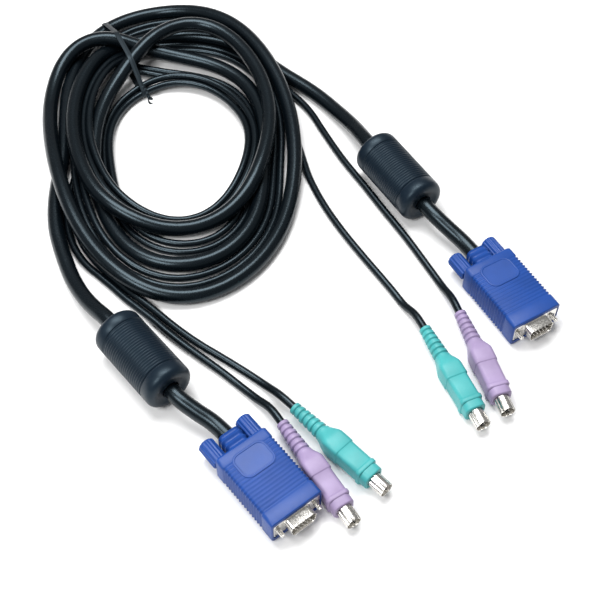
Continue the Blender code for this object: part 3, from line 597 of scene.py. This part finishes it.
def principled(name, colour, roughness, metallic=0.0, specular=0.5, tint=(1, 1, 1)):
    material = bpy.data.materials.new(name)
    material.use_nodes = True
    shader = material.node_tree.nodes["Principled BSDF"]
    shader.inputs["Base Color"].default_value = (*colour, 1)
    shader.inputs["Roughness"].default_value = roughness
    shader.inputs["Metallic"].default_value = metallic
    shader.inputs["Specular IOR Level"].default_value = specular
    shader.inputs["Specular Tint"].default_value = (*tint, 1)
    return material, shader


def noise(shader, scale, detail=4, stretch=None):
    """Noise in the object's own space, where one unit is a metre."""
    nodes, links = shader.id_data.nodes, shader.id_data.links
    place = nodes.new("ShaderNodeTexCoord")
    texture = nodes.new("ShaderNodeTexNoise")
    texture.inputs["Scale"].default_value = scale
    texture.inputs["Detail"].default_value = detail
    vector = place.outputs["Object"]
    if stretch:
        mapping = nodes.new("ShaderNodeMapping")
        mapping.inputs["Scale"].default_value = stretch
        links.new(vector, mapping.inputs["Vector"])
        vector = mapping.outputs["Vector"]
    links.new(vector, texture.inputs["Vector"])
    return texture


def roughened(shader, source, low, high):
    """Gives the shader a roughness that goes from low to high with the noise."""
    links = shader.id_data.links
    ramp = shader.id_data.nodes.new("ShaderNodeMapRange")
    ramp.inputs["From Min"].default_value, ramp.inputs["From Max"].default_value = NOISE_RANGE
    ramp.inputs["To Min"].default_value = low
    ramp.inputs["To Max"].default_value = high
    links.new(source.outputs["Fac"], ramp.inputs["Value"])
    links.new(ramp.outputs["Result"], shader.inputs["Roughness"])


def mottled(shader, source, dark, light):
    """Gives the shader a base colour that wanders from dark to light."""
    links = shader.id_data.links
    ramp = shader.id_data.nodes.new("ShaderNodeValToRGB")
    for stop, position, colour in zip(ramp.color_ramp.elements, NOISE_RANGE, (dark, light)):
        stop.position = position
        stop.color = (*colour, 1)
    links.new(source.outputs["Fac"], ramp.inputs["Fac"])
    links.new(ramp.outputs["Color"], shader.inputs["Base Color"])


def bumped(shader, layers):
    """Bumps laid over each other, each as (noise, strength, distance)."""
    normal = None
    links = shader.id_data.links
    for source, strength, distance in layers:
        bump = shader.id_data.nodes.new("ShaderNodeBump")
        bump.inputs["Strength"].default_value = strength
        bump.inputs["Distance"].default_value = distance
        links.new(source.outputs["Fac"], bump.inputs["Height"])
        if normal:
            links.new(normal, bump.inputs["Normal"])
        normal = bump.outputs["Normal"]
    links.new(normal, shader.inputs["Normal"])


def moulded(name, colour, roughness, specular=0.4, tint=(1, 1, 1)):
    """Satin PVC out of a spark-eroded mould: a fine grain and a faint mottle."""
    material, shader = principled(name, colour, roughness, 0, specular, tint)
    broad = noise(shader, 90)
    fine = noise(shader, 2600, 2)
    dark = tuple(c * 0.9 for c in colour)
    light = tuple(min(1, c * 1.08) for c in colour)
    mottled(shader, broad, dark, light)
    roughened(shader, fine, roughness - 0.06, roughness + 0.1)
    bumped(shader, [(fine, 0.2, 0.00012), (broad, 0.1, 0.0002)])
    return material


def jacket():
    """Extruded PVC: glossy, with long faint waves and a little dust."""
    low, high = JACKET_ROUGHNESS
    material, shader = principled("cord_jacket", JACKET_DARK, high, 0, 0.34, COOL_TINT)
    waves = noise(shader, 55)
    fine = noise(shader, 1800, 3)
    mottled(shader, waves, JACKET_DARK, JACKET_LIGHT)
    roughened(shader, fine, low, high)
    bumped(shader, [(fine, 0.12, 0.0001), (waves, 0.15, 0.0006)])
    return material


def plated(name, colour, roughness):
    """Nickel plate over drawn steel: fine streaks along the draw."""
    material, shader = principled(name, colour, roughness, 1.0)
    streaks = noise(shader, 900, 3, (1, 1, 6))
    cloud = noise(shader, 250)
    dark = tuple(c * 0.86 for c in colour)
    mottled(shader, cloud, dark, colour)
    roughened(shader, streaks, roughness - 0.05, roughness + 0.12)
    bumped(shader, [(streaks, 0.1, 0.00005)])
    return material


def sintered():
    """Sintered ferrite: matt, with a coarse grit."""
    material, shader = principled("ferrite", FERRITE_DARK, 0.65, 0.2)
    grit = noise(shader, 3200, 5)
    mottled(shader, grit, FERRITE_DARK, FERRITE_LIGHT)
    bumped(shader, [(grit, 0.35, 0.0001)])
    return material


def make_materials():
    return {
        "cord_jacket": jacket(),
        "tie": moulded("tie", TIE_BLACK, 0.42, 0.3, tint=COOL_TINT),
        "blue_moulding": moulded("blue_moulding", VIDEO_BLUE, 0.38, 0.3),
        "purple_moulding": moulded("purple_moulding", KEYBOARD_PURPLE, 0.42, 0.35),
        "green_moulding": moulded("green_moulding", MOUSE_GREEN, 0.42, 0.35),
        "black_moulding": moulded("black_moulding", CHOKE_BLACK, 0.38, 0.33, tint=COOL_TINT),
        "black_insulator": moulded("black_insulator", INSULATOR_BLACK, 0.5),
        "nickel_plate": plated("nickel_plate", NICKEL, 0.2),
        "ferrite": sintered(),
    }


def skin(mesh, rings, closed=False):
    """A skin over rings of as many points each, capped or closed on itself."""
    rows = [[mesh.verts.new(point) for point in ring] for ring in rings]
    count = len(rows[0])
    pairs = list(zip(rows, rows[1:]))
    if closed:
        pairs.append((rows[-1], rows[0]))
    for one, two in pairs:
        for i in range(count):
            j = (i + 1) % count
            mesh.faces.new((one[i], one[j], two[j], two[i]))
    if not closed:
        mesh.faces.new(rows[0])
        mesh.faces.new(rows[-1])


def rounded_outline(half_width, half_height, corner, steps):
    """Points round a rectangle with round corners, as (across, up)."""
    corner = min(corner, half_width, half_height)
    points = []
    for quarter in range(4):
        side = 1 if quarter in (0, 3) else -1
        top = 1 if quarter in (0, 1) else -1
        for step in range(steps):
            angle = (quarter + (step + 0.5) / steps) * math.pi / 2
            points.append(
                (
                    side * (half_width - corner) + corner * math.cos(angle),
                    top * (half_height - corner) + corner * math.sin(angle),
                )
            )
    return points


def section(x, half_width, half_height, corner, steps=CORNER_STEPS):
    return [(x, y, z) for y, z in rounded_outline(half_width, half_height, corner, steps)]


def circle(x, radius, sides=48, flutes=0, depth=0.0):
    """A ring across the X axis, with flutes cut into it if it has them."""
    ring = []
    for i in range(sides):
        angle = i * 2 * math.pi / sides
        reach = radius - depth * (0.5 - 0.5 * math.cos(angle * flutes)) ** 2
        ring.append((x, reach * math.cos(angle), reach * math.sin(angle)))
    return ring


def as_data(name, mesh):
    """The finished mesh, its faces all turned outwards."""
    bmesh.ops.recalc_face_normals(mesh, faces=mesh.faces)
    data = bpy.data.meshes.new(name)
    mesh.to_mesh(data)
    mesh.free()
    return data


def add_piece(node, part, mesh, place, height, material, body="cable", smooth_below=40):
    """A mesh in millimetres, laid where its plug lies, in the place of a solid."""
    name = f"{node}_{part}"
    replaced = [node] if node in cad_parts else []
    x, y, degrees = place
    lay = Matrix.Translation(Vector((x, y, height)) * MM)
    lay @= Matrix.Rotation(math.radians(degrees), 4, "Z") @ Matrix.Scale(MM, 4)
    data = as_data(name, mesh)
    data.transform(lay)
    data.shade_smooth()
    data.set_sharp_from_angle(angle=math.radians(smooth_below))
    piece = add_object(name, data)
    data.materials.append(materials[material])
    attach(piece, body)
    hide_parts(*replaced)
    made.append(piece)


def cut(mesh, tools):
    """The mesh with each tool, another mesh, cut away."""
    target, *spares = [add_object("cut", as_data("cut", part)) for part in (mesh, *tools)]
    for tool in spares:
        change = target.modifiers.new("cut", "BOOLEAN")
        change.operation = "DIFFERENCE"
        change.solver = "EXACT"
        change.object = tool
    graph = bpy.context.evaluated_depsgraph_get()
    result = bmesh.new()
    result.from_mesh(target.evaluated_get(graph).to_mesh())
    for spare in (target, *spares):
        bpy.data.objects.remove(spare)
    return result


def bar(rings):
    mesh = bmesh.new()
    skin(mesh, rings)
    return mesh


def screw_bores(start, end):
    """Tools that cut the bores of both thumbscrews."""
    radius = SCREW_DIAMETER / 2 + SCREW_CLEARANCE
    bores = [bar([circle(x, radius) for x in (start, end)]) for _ in range(2)]
    return [moved(bore, side * SCREW_SPACING / 2) for bore, side in zip(bores, (1, -1))]


def eased(share):
    """From 0 to 1, flat at both ends."""
    return share * share * (3 - 2 * share)


def wave(share):
    """From 0 on a rib's crest to 1 at the bottom of its groove, rounded."""
    return (0.5 - 0.5 * math.cos(2 * math.pi * share)) ** 0.7


def rounded_step(start, end, inset, steps=4):
    """A quarter round from an inset of so much to none, as (x, inset)."""
    found = []
    for step in range(steps + 1):
        angle = step / steps * math.pi / 2
        found.append((start + (end - start) * (1 - math.cos(angle)), inset * (1 - math.sin(angle))))
    return found


def hood_stations():
    """Along the hood from its front: (x, inset of the sides, inset of top and bottom)."""
    stations = [(x, inset, inset) for x, inset in rounded_step(0, -HOOD_EDGE, HOOD_EDGE)]
    length = HOOD_LENGTH - FRONT_COLLAR - REAR_COLLAR
    ribs = round(length / RIB_PITCH)
    steps = 8
    for step in range(ribs * steps + 1):
        x = -FRONT_COLLAR - length * step / (ribs * steps)
        groove = wave(step / steps)
        stations.append((x, SIDE_RIB_DEPTH * groove, TOP_RIB_DEPTH * groove))
    rear = rounded_step(-HOOD_LENGTH, -HOOD_LENGTH + HOOD_REAR_ROUND, HOOD_REAR_ROUND, 5)
    stations += [(x, inset, inset) for x, inset in reversed(rear)]
    return stations


def hood_mesh():
    half_width, half_height = HOOD_WIDTH / 2, HOOD_THICKNESS / 2
    rings = [
        section(x, half_width - side, half_height - top, HOOD_CORNER)
        for x, side, top in hood_stations()
    ]
    steps = 8 * NECK_HUMPS
    for step in range(steps + 1):
        share = step / steps
        groove = NECK_HUMP_DEPTH * wave(share * NECK_HUMPS)
        inset = groove if step < steps else HOOD_EDGE
        x = -HOOD_LENGTH - NECK_LENGTH * share
        rings.append(section(x, NECK_WIDTH / 2 - inset, NECK_THICKNESS / 2 - inset, NECK_CORNER))
    return bar(rings)


def arch_rings(side):
    """The raised arch near the shoulder, with a shallow dish in it."""
    middle = -HOOD_LENGTH + ARCH_FROM_SHOULDER + ARCH_LENGTH / 2
    top = HOOD_THICKNESS / 2 + ARCH_PROUD
    stations = [
        (0, top - 1.6),
        (0, top - 0.3),
        (0.1, top - 0.1),
        (0.35, top),
        (1.1, top),
        (1.35, top - 0.08),
        (1.5, top - 0.28),
    ]
    rings = []
    for inset, z in stations:
        size = (ARCH_LENGTH / 2 - inset, ARCH_WIDTH / 2 - inset, ARCH_CORNER - inset)
        rings.append([(middle + x, y, side * z) for x, y in rounded_outline(*size, CORNER_STEPS)])
    return rings


def shell_outline(grow):
    """The D of the shell's opening, grown all round, as (across, up)."""
    half_width, half_height = SHELL_WIDTH / 2 + grow, SHELL_HEIGHT / 2 + grow
    lean = half_height * math.tan(SHELL_SLANT)
    corner = SHELL_CORNER + grow
    corners = [
        Vector((half_width, half_height)),
        Vector((-half_width, half_height)),
        Vector((-half_width + 2 * lean, -half_height)),
        Vector((half_width - 2 * lean, -half_height)),
    ]
    points = []
    for i, point in enumerate(corners):
        before = (corners[i - 1] - point).normalized()
        after = (corners[(i + 1) % 4] - point).normalized()
        half_angle = before.angle(after) / 2
        centre = point + (before + after).normalized() * corner / math.sin(half_angle)
        reach = corner / math.tan(half_angle)
        first = point + before * reach - centre
        turn = first.angle_signed(point + after * reach - centre)
        for step in range(CORNER_STEPS + 1):
            points.append(centre + Matrix.Rotation(-turn * step / CORNER_STEPS, 2) @ first)
    return points


def d_ring(x, grow):
    return [(x, point[0], point[1]) for point in shell_outline(grow)]


def moved(mesh, across):
    bmesh.ops.translate(mesh, verts=mesh.verts, vec=(0, across, 0))
    return mesh


def moved_ring(ring, across, up):
    return [(x, y + across, z + up) for x, y, z in ring]


def make_hood(end, place):
    """The ribbed hood, with its seat, its D-shaped opening and its screw bores."""
    seat_floor = FLANGE_FRONT - FLANGE_THICKNESS - GAP
    seat = (FLANGE_WIDTH / 2 + GAP, FLANGE_HEIGHT / 2 + GAP, FLANGE_CORNER)
    tools = [
        bar([section(x, *seat) for x in (seat_floor, TOOL_REACH)]),
        bar([d_ring(x, 0) for x in (INSULATOR_BACK - GAP, TOOL_REACH)]),
    ]
    tools += screw_bores(-HOOD_LENGTH - TOOL_REACH, TOOL_REACH)
    mesh = cut(hood_mesh(), tools)
    for side in (1, -1):
        skin(mesh, arch_rings(side))
    add_piece(f"{end}_vga_hood", "moulding", mesh, place, HOOD_CENTRE, "blue_moulding")


def make_vga_metal(end, place):
    """The flange, and the D-shaped shell drawn out of it with a rolled lip."""
    back = FLANGE_FRONT - FLANGE_THICKNESS
    edge = FLANGE_EDGE
    stations = [
        (back, 0),
        (FLANGE_FRONT - edge, 0),
        (FLANGE_FRONT - edge / 3, edge / 3),
        (FLANGE_FRONT, edge),
    ]
    rings = [
        section(x, FLANGE_WIDTH / 2 - inset, FLANGE_HEIGHT / 2 - inset, FLANGE_CORNER)
        for x, inset in stations
    ]
    tools = [bar([d_ring(x, SHELL_WALL / 2) for x in (-PLATE_TOOL_REACH, PLATE_TOOL_REACH)])]
    tools += screw_bores(-PLATE_TOOL_REACH, PLATE_TOOL_REACH)
    mesh = cut(bar(rings), tools)
    wall = SHELL_WALL
    stations = [
        (back, wall / 2 + 0.1),
        (FLANGE_FRONT - 0.05, wall + 0.75),
        (FLANGE_FRONT + 0.08, wall + 0.5),
        (FLANGE_FRONT + 0.3, wall + 0.2),
        (FLANGE_FRONT + 0.7, wall),
        (SHELL_REACH - 0.3, wall),
        (SHELL_REACH - 0.1, wall - 0.06),
        (SHELL_REACH, wall - 0.2),
        (SHELL_REACH - 0.06, wall - 0.36),
        (SHELL_REACH - 0.3, 0),
        (back, 0),
    ]
    skin(mesh, [d_ring(x, grow) for x, grow in stations], closed=True)
    add_piece(f"{end}_vga_shell", "plate", mesh, place, HOOD_CENTRE, "nickel_plate")


def pins_mesh(places, start, end, diameter):
    """Round pins with domed tips."""
    mesh = bmesh.new()
    radius = diameter / 2
    for across, up in places:
        rings = [circle(start, radius, 16), circle(end - radius, radius, 16)]
        rings += [
            circle(end - radius + radius * math.sin(a), radius * math.cos(a), 16)
            for a in (math.radians(30), math.radians(60), math.radians(80))
        ]
        skin(mesh, [moved_ring(ring, across, up) for ring in rings])
    return mesh


def make_vga_insulator(end, place):
    """The block in the D-shaped shell, with a collar round each of its pins."""
    rings = [
        d_ring(INSULATOR_BACK, -GAP),
        d_ring(INSULATOR_FACE - 0.2, -GAP),
        d_ring(INSULATOR_FACE, -GAP - 0.2),
    ]
    places = []
    for row in range(PIN_ROWS):
        shift = PIN_PITCH / 4 * (1 if row % 2 == 0 else -1)
        for pin in range(PINS_A_ROW):
            across = (pin - (PINS_A_ROW - 1) / 2) * PIN_PITCH + shift
            places.append((across, ((PIN_ROWS - 1) / 2 - row) * PIN_ROW_PITCH))
    mesh = bar(rings)
    for across, up in places:
        collar = [circle(INSULATOR_FACE + x, radius, 20) for x, radius in PIN_COLLAR]
        skin(mesh, [moved_ring(ring, across, up) for ring in collar])
    add_piece(f"{end}_vga_insulator", "block", mesh, place, HOOD_CENTRE, "black_insulator")
    pins = pins_mesh(places, INSULATOR_FACE, PIN_REACH, PIN_DIAMETER)
    add_piece(f"{end}_vga", "pins", pins, place, HOOD_CENTRE, "nickel_plate")


def make_thumbscrew(end, side_name, side, place):
    """A fluted knob with rounded ends, and a screw with its thread cut."""
    body = f"{end}_{side_name}_thumbscrew"
    front = -HOOD_LENGTH - GAP
    rear = front - KNOB_LENGTH
    radius = KNOB_DIAMETER / 2
    bore = SCREW_DIAMETER / 2 + GAP
    rings = [circle(x, bore, KNOB_SIDES) for x in (front - SCREW_IN_KNOB - GAP, front)]
    stations = rounded_step(front, front - KNOB_ROUND, KNOB_ROUND, 5)
    stations += reversed(rounded_step(rear, rear + KNOB_ROUND, KNOB_ROUND, 5))
    for x, inset in stations:
        depth = KNOB_FLUTE_DEPTH * (1 - inset / KNOB_ROUND)
        rings.append(circle(x, radius - inset, KNOB_SIDES, KNOB_FLUTES, depth))
    rim, floor, deep = KNOB_DISH
    rings += [circle(rear, radius - rim, KNOB_SIDES), circle(rear + deep, radius - floor, KNOB_SIDES)]
    node = f"{end}_{side_name}_thumb_knob"
    mesh = moved(bar(rings), side * SCREW_SPACING / 2)
    add_piece(node, "grip", mesh, place, HOOD_CENTRE, "blue_moulding", body)
    rod = SCREW_DIAMETER / 2
    sides = 32
    rings = [circle(front - SCREW_IN_KNOB, rod, sides)]
    thread_start = SCREW_REACH - THREAD_LENGTH
    rings.append(circle(thread_start - 0.3, rod, sides))
    steps = round(THREAD_LENGTH / THREAD_PITCH * 8)
    for step in range(steps + 1):
        x = thread_start + THREAD_LENGTH * step / steps
        taper = max(0, x - (SCREW_REACH - 0.6))
        ring = []
        for i in range(sides):
            share = (x / THREAD_PITCH - i / sides) % 1
            reach = rod - THREAD_DEPTH * (1 - abs(2 * share - 1)) - taper * 0.8
            angle = i * 2 * math.pi / sides
            ring.append((x, reach * math.cos(angle), reach * math.sin(angle)))
        rings.append(ring)
    node = f"{end}_{side_name}_thumb_screw"
    mesh = moved(bar(rings), side * SCREW_SPACING / 2)
    add_piece(node, "thread", mesh, place, HOOD_CENTRE, "nickel_plate", body, 60)


def choke_profile():
    """The cover's turned profile as (along, radius): out over it, back inside."""
    half = CHOKE_LENGTH / 2
    radius = CHOKE_DIAMETER / 2
    outer = [(half - 0.5, radius - CHOKE_END_ROUND - 2.2), (half, radius - CHOKE_END_ROUND - 1.6)]
    for step in range(9):
        angle = step / 8 * math.pi / 2
        outer.append(
            (
                half - CHOKE_END_ROUND * (1 - math.cos(angle)),
                radius - CHOKE_END_ROUND * (1 - math.sin(angle)),
            )
        )
    band = half - CHOKE_END_ROUND - CHOKE_BAND
    for step in range(9):
        x = band - CHOKE_GROOVE_WIDTH * step / 8
        outer.append((x, radius - CHOKE_GROOVE_DEPTH * wave(step / 8)))
    end = list(outer)
    ribbed = band - CHOKE_GROOVE_WIDTH
    steps = CHOKE_RIBS * 6
    for step in range(1, steps):
        x = ribbed - 2 * ribbed * step / steps
        outer.append((x, radius - CHOKE_RIB_DEPTH * wave(step / 6)))
    outer += [(-x, r) for x, r in reversed(end)]
    bore = CHOKE_BORE / 2
    seat = CORE_DIAMETER / 2 + GAP
    inside = CORE_LENGTH / 2 + GAP
    mouth = [(half - 0.9, bore), (half - 0.5, bore + CHOKE_BORE_EDGE)]
    outer += [(-x, r) for x, r in reversed(mouth)]
    outer += [(-inside, bore), (-inside, seat), (inside, seat), (inside, bore)]
    return outer + mouth


def make_choke(end, place):
    """The choke's cover, and the finish of the ring that it hides."""
    mesh = bmesh.new()
    skin(mesh, [circle(x, r, 64) for x, r in choke_profile()], closed=True)
    node = f"{end}_ferrite_cover"
    add_piece(node, "moulding", mesh, place, CHOKE_CENTRE, "black_moulding", smooth_below=50)
    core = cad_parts[f"{end}_ferrite_core"]
    for slot in core.material_slots:
        slot.material = materials["ferrite"]


def din_stations():
    """Along a keyboard or mouse plug: (x, half size, corner)."""
    half = DIN_BODY_SIZE / 2
    nose = DIN_NOSE_SIZE / 2
    seat = DIN_SHELL_DIAMETER / 2 + GAP
    stations = [(-DIN_SHELL_SEAT - GAP, seat, seat), (0, seat, seat)]
    stations += [
        (x, nose - inset, DIN_NOSE_CORNER) for x, inset in rounded_step(0, -DIN_EDGE, DIN_EDGE)
    ]
    stations.append((-DIN_NOSE_LENGTH, nose, DIN_NOSE_CORNER))
    stations += [
        (x, half - inset, DIN_BODY_CORNER)
        for x, inset in rounded_step(-DIN_NOSE_LENGTH, -DIN_NOSE_LENGTH - DIN_EDGE, DIN_EDGE)
    ]
    grip_start = -DIN_NOSE_LENGTH - DIN_EDGE - DIN_COLLAR
    grip_end = grip_start - DIN_GRIP_LENGTH
    grip_half = half - DIN_GRIP_INSET
    for x, before, after in ((grip_start, half, grip_half), (grip_end, grip_half, half)):
        for step in range(DIN_STEPS + 1):
            share = step / DIN_STEPS
            size = before + (after - before) * eased(share)
            stations.append((x - DIN_EDGE * share, size, DIN_BODY_CORNER))
    taper = -DIN_BODY_LENGTH + DIN_TAPER_LENGTH
    boot = BOOT_FRONT / 2
    for step in range(2 * DIN_STEPS + 1):
        share = step / (2 * DIN_STEPS)
        size = half + (boot - half) * eased(share)
        corner = DIN_BODY_CORNER + (boot - DIN_BODY_CORNER) * share
        stations.append((taper - DIN_TAPER_LENGTH * share, size, corner))
    narrowing = (BOOT_FRONT - BOOT_REAR) / 2
    steps = BOOT_RINGS * 10
    for step in range(1, steps + 1):
        share = step / steps
        ring = (step / 10) % 1
        radius = boot - narrowing * share
        groove = BOOT_GROOVE * wave(ring / 0.5) if ring < 0.5 else 0
        stations.append((-DIN_BODY_LENGTH - BOOT_LENGTH * share, radius - groove, radius - groove))
    mouth = BOOT_REAR / 2 - 0.5
    stations.append((-DIN_BODY_LENGTH - BOOT_LENGTH - 0.01, mouth, mouth))
    return stations


def din_ring(x, radius):
    """A round ring with three grooves pressed in, which key the plug."""
    sides = 96
    ring = []
    for i in range(sides):
        angle = i * 2 * math.pi / sides
        inset = 0
        for key in DIN_KEYS:
            off = abs(math.remainder(angle - key, 2 * math.pi))
            if off < DIN_KEY_WIDTH:
                inset = DIN_KEY_DEPTH * (1 + math.cos(math.pi * off / DIN_KEY_WIDTH)) / 2
        ring.append((x, (radius - inset) * math.cos(angle), (radius - inset) * math.sin(angle)))
    return ring


def make_din_plug(end, use, colour, place):
    make_din_body(end, use, colour, place)
    make_din_shell(end, use, place)
    make_din_insulator(end, use, place)


def make_din_body(end, use, colour, place):
    rings = [section(x, size, size, corner, 10) for x, size, corner in din_stations()]
    add_piece(f"{end}_{use}_body", "moulding", bar(rings), place, DIN_CENTRE, colour)


def make_din_shell(end, use, place):
    """The keyed round shell, its front edge rounded."""
    outer = DIN_SHELL_DIAMETER / 2
    inner = outer - DIN_SHELL_WALL
    reach = DIN_SHELL_REACH
    stations = [
        (-DIN_SHELL_SEAT, outer),
        (reach - 0.3, outer),
        (reach - 0.1, outer - 0.06),
        (reach, outer - 0.2),
        (reach - 0.06, inner + 0.08),
        (reach - 0.3, inner),
        (-DIN_SHELL_SEAT, inner),
    ]
    mesh = bmesh.new()
    skin(mesh, [din_ring(x, radius) for x, radius in stations], closed=True)
    add_piece(f"{end}_{use}_shell", "tube", mesh, place, DIN_CENTRE, "nickel_plate")


def make_din_insulator(end, use, place):
    """The disc in the shell, with its tab and pins."""
    radius = DIN_SHELL_DIAMETER / 2 - DIN_SHELL_WALL - GAP
    stations = [(-DIN_SHELL_SEAT, 0), (DIN_FACE - 0.2, 0), (DIN_FACE, 0.2)]
    mesh = bar([din_ring(x, radius - inset) for x, inset in stations])
    width, height, reach = DIN_TAB
    tab = [(0, 0), (reach - 0.3, 0), (reach - 0.1, 0.08), (reach, 0.25)]
    skin(mesh, [section(x, width / 2 - inset, height / 2 - inset, 0.25, 4) for x, inset in tab])
    add_piece(f"{end}_{use}_insulator", "disc", mesh, place, DIN_CENTRE, "black_insulator")
    places = [tuple(heading(degrees).xy * DIN_PIN_CIRCLE / 2) for degrees in DIN_PIN_ANGLES]
    pins = pins_mesh(places, DIN_FACE - 0.1, DIN_PIN_REACH, DIN_PIN_DIAMETER)
    add_piece(f"{end}_{use}", "pins", pins, place, DIN_CENTRE, "nickel_plate")


def make_plugs():
    for end in ("near", "far"):
        place = VGA_PLACES[end]
        make_hood(end, place)
        make_vga_metal(end, place)
        make_vga_insulator(end, place)
        make_thumbscrew(end, "left", 1, place)
        make_thumbscrew(end, "right", -1, place)
        make_choke(end, CHOKE_PLACES[end])
        make_din_plug(end, "keyboard", "purple_moulding", KEYBOARD_PLACES[end])
        make_din_plug(end, "mouse", "green_moulding", MOUSE_PLACES[end])


def make_cord(strand, material, replaced):
    """A strand's curve from the near plug to the far one, in the place of the construction's cords.
    """
    line = strand.line
    picked = [*range(0, len(line) - 2, CURVE_STEP), len(line) - 1]
    curve = bpy.data.curves.new(f"{strand.name}_cord", "CURVE")
    curve.dimensions = "3D"
    curve.bevel_depth = strand.diameter / 2 * MM
    curve.bevel_resolution = CORD_FACETS
    curve.use_fill_caps = True
    curve.resolution_u = CORD_STEPS
    spline = curve.splines.new("BEZIER")
    spline.bezier_points.add(len(picked) - 1)
    for point, i in zip(spline.bezier_points, picked):
        point.co = Vector(line[i]) * MM
        point.handle_left_type = point.handle_right_type = "AUTO"
    cord = add_object(f"{strand.name}_cord", curve)
    curve.materials.append(material)
    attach(cord, "cable")
    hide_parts(*replaced)


def tie_loop(strands):
    """The tie's line round the cords, in its own upright plane: (inward, up)."""
    origin = np.array(in_coil(TIE_DEGREES, 0, 0))
    inward = np.array(in_coil(TIE_DEGREES, 1, 0)) - origin
    across = np.array((-inward[1], inward[0], 0))
    stand_off = TIE_THICKNESS / 2 + TIE_SLACK
    points = []
    for strand in strands:
        from_origin = strand.line - origin
        side = from_origin @ across
        depth = from_origin @ inward
        found = (side[:-1] * side[1:] < 0) & (depth[:-1] > TIE_DEPTHS[0])
        for i in np.nonzero(found & (depth[:-1] < TIE_DEPTHS[1]))[0]:
            share = side[i] / (side[i] - side[i + 1])
            u = depth[i] + (depth[i + 1] - depth[i]) * share
            z = strand.line[i, 2] + (strand.line[i + 1, 2] - strand.line[i, 2]) * share
            reach = strand.diameter / 2 + stand_off
            for _, y, up in circle(0, reach, 32):
                points.append((u + y, max(z + up, stand_off)))
    return convex(points), origin, inward, across


def convex(points):
    """The points' convex outline, anticlockwise."""
    points = sorted(set(points))
    halves = []
    for run in (points, points[::-1]):
        half = []
        for point in run:
            while len(half) > 1 and turn_of(half[-2], half[-1], point) <= 0:
                half.pop()
            half.append(point)
        halves += half[:-1]
    return halves


def turn_of(a, b, c):
    return (b[0] - a[0]) * (c[1] - a[1]) - (b[1] - a[1]) * (c[0] - a[0])


def tie_section(centre, wide, thick):
    """A ring of the tie: flat, with a rounded rib where its wire runs."""
    outline = [(1, 0.35), (0.5, 0.55), (0.22, 0.7), (0, 1), (-0.22, 0.7), (-0.5, 0.55), (-1, 0.35)]
    outline += [(-x, -y) for x, y in outline]
    wide = wide * TIE_WIDTH / 2
    thick = thick * TIE_THICKNESS / 2
    return [centre + wide * x + thick * y for x, y in outline]


def make_tie(strands):
    """A wired tie drawn round the cords, its two ends twisted together in the hole."""
    loop, origin, inward, across = tie_loop(strands)
    line = evenly([(u, z, 0) for u, z in loop + loop[:1]], TIE_STEP)[:-1, :2]
    for _ in range(TIE_ROUNDING):
        line += (np.roll(line, 1, axis=0) - 2 * line + np.roll(line, -1, axis=0)) / 4
    along = np.roll(line, -1, axis=0) - np.roll(line, 1, axis=0)
    along /= np.linalg.norm(along, axis=1)[:, None]
    up = np.array((0, 0, 1))
    mesh = bmesh.new()
    rings = []
    for (u, z), (du, dz) in zip(line, along):
        centre = origin + inward * u + up * z
        rings.append(tie_section(centre, across, inward * dz - up * du))
    skin(mesh, rings, closed=True)
    middle = (line[:, 1].max() + line[:, 1].min()) / 2
    start = line[:, 0].max() - TIE_TWIST_START
    width, thickness = TIE_TWIST_SIZE
    for strip in (1, -1):
        rings = []
        for step in range(TIE_TWIST_STEPS + 1):
            share = step / TIE_TWIST_STEPS
            turn = share * TIE_TWIST_TURNS * 2 * math.pi
            flat = across * math.cos(turn) + up * math.sin(turn)
            thin = up * math.cos(turn) - across * math.sin(turn)
            splay = max(0, share - TIE_SPLAY_FROM) / (1 - TIE_SPLAY_FROM)
            centre = origin + inward * (start + TIE_TWIST_LENGTH * share)
            centre = centre + up * (middle - TIE_TWIST_DROP * share * share)
            centre = centre + thin * strip * (TIE_END_APART + TIE_END_SPLAY * splay)
            rings.append(tie_section(centre, flat * width, thin * thickness))
        skin(mesh, rings)
    add_piece("cable_tie", "strip", mesh, (0, 0, 0), 0, "tie")


def make_cords():
    strands = make_strands()
    settle(strands)
    make_tie(strands)
    material = materials["cord_jacket"]
    far = [piece for piece in made if piece.name.startswith("far_")]
    for strand in strands:
        replaced = [f"near_{strand.name}_cord", f"far_{strand.name}_cord"]
        if strand.name == "vga":
            replaced.append("cable_coil")
            pieces = [p for p in far if "keyboard" not in p.name and "mouse" not in p.name]
            pieces += ["far_ferrite_core", "near_ferrite_core"]
            pieces += [p for p in made if p.name == "near_ferrite_cover_moulding"]
        else:
            pieces = [p for p in far if strand.name in p.name]
        make_cord(strand, material, replaced)


make_camera()
make_floor()
make_lights()
materials = make_materials()
made = []
make_plugs()
make_cords()
bpy.context.scene.view_settings.view_transform = "Standard"
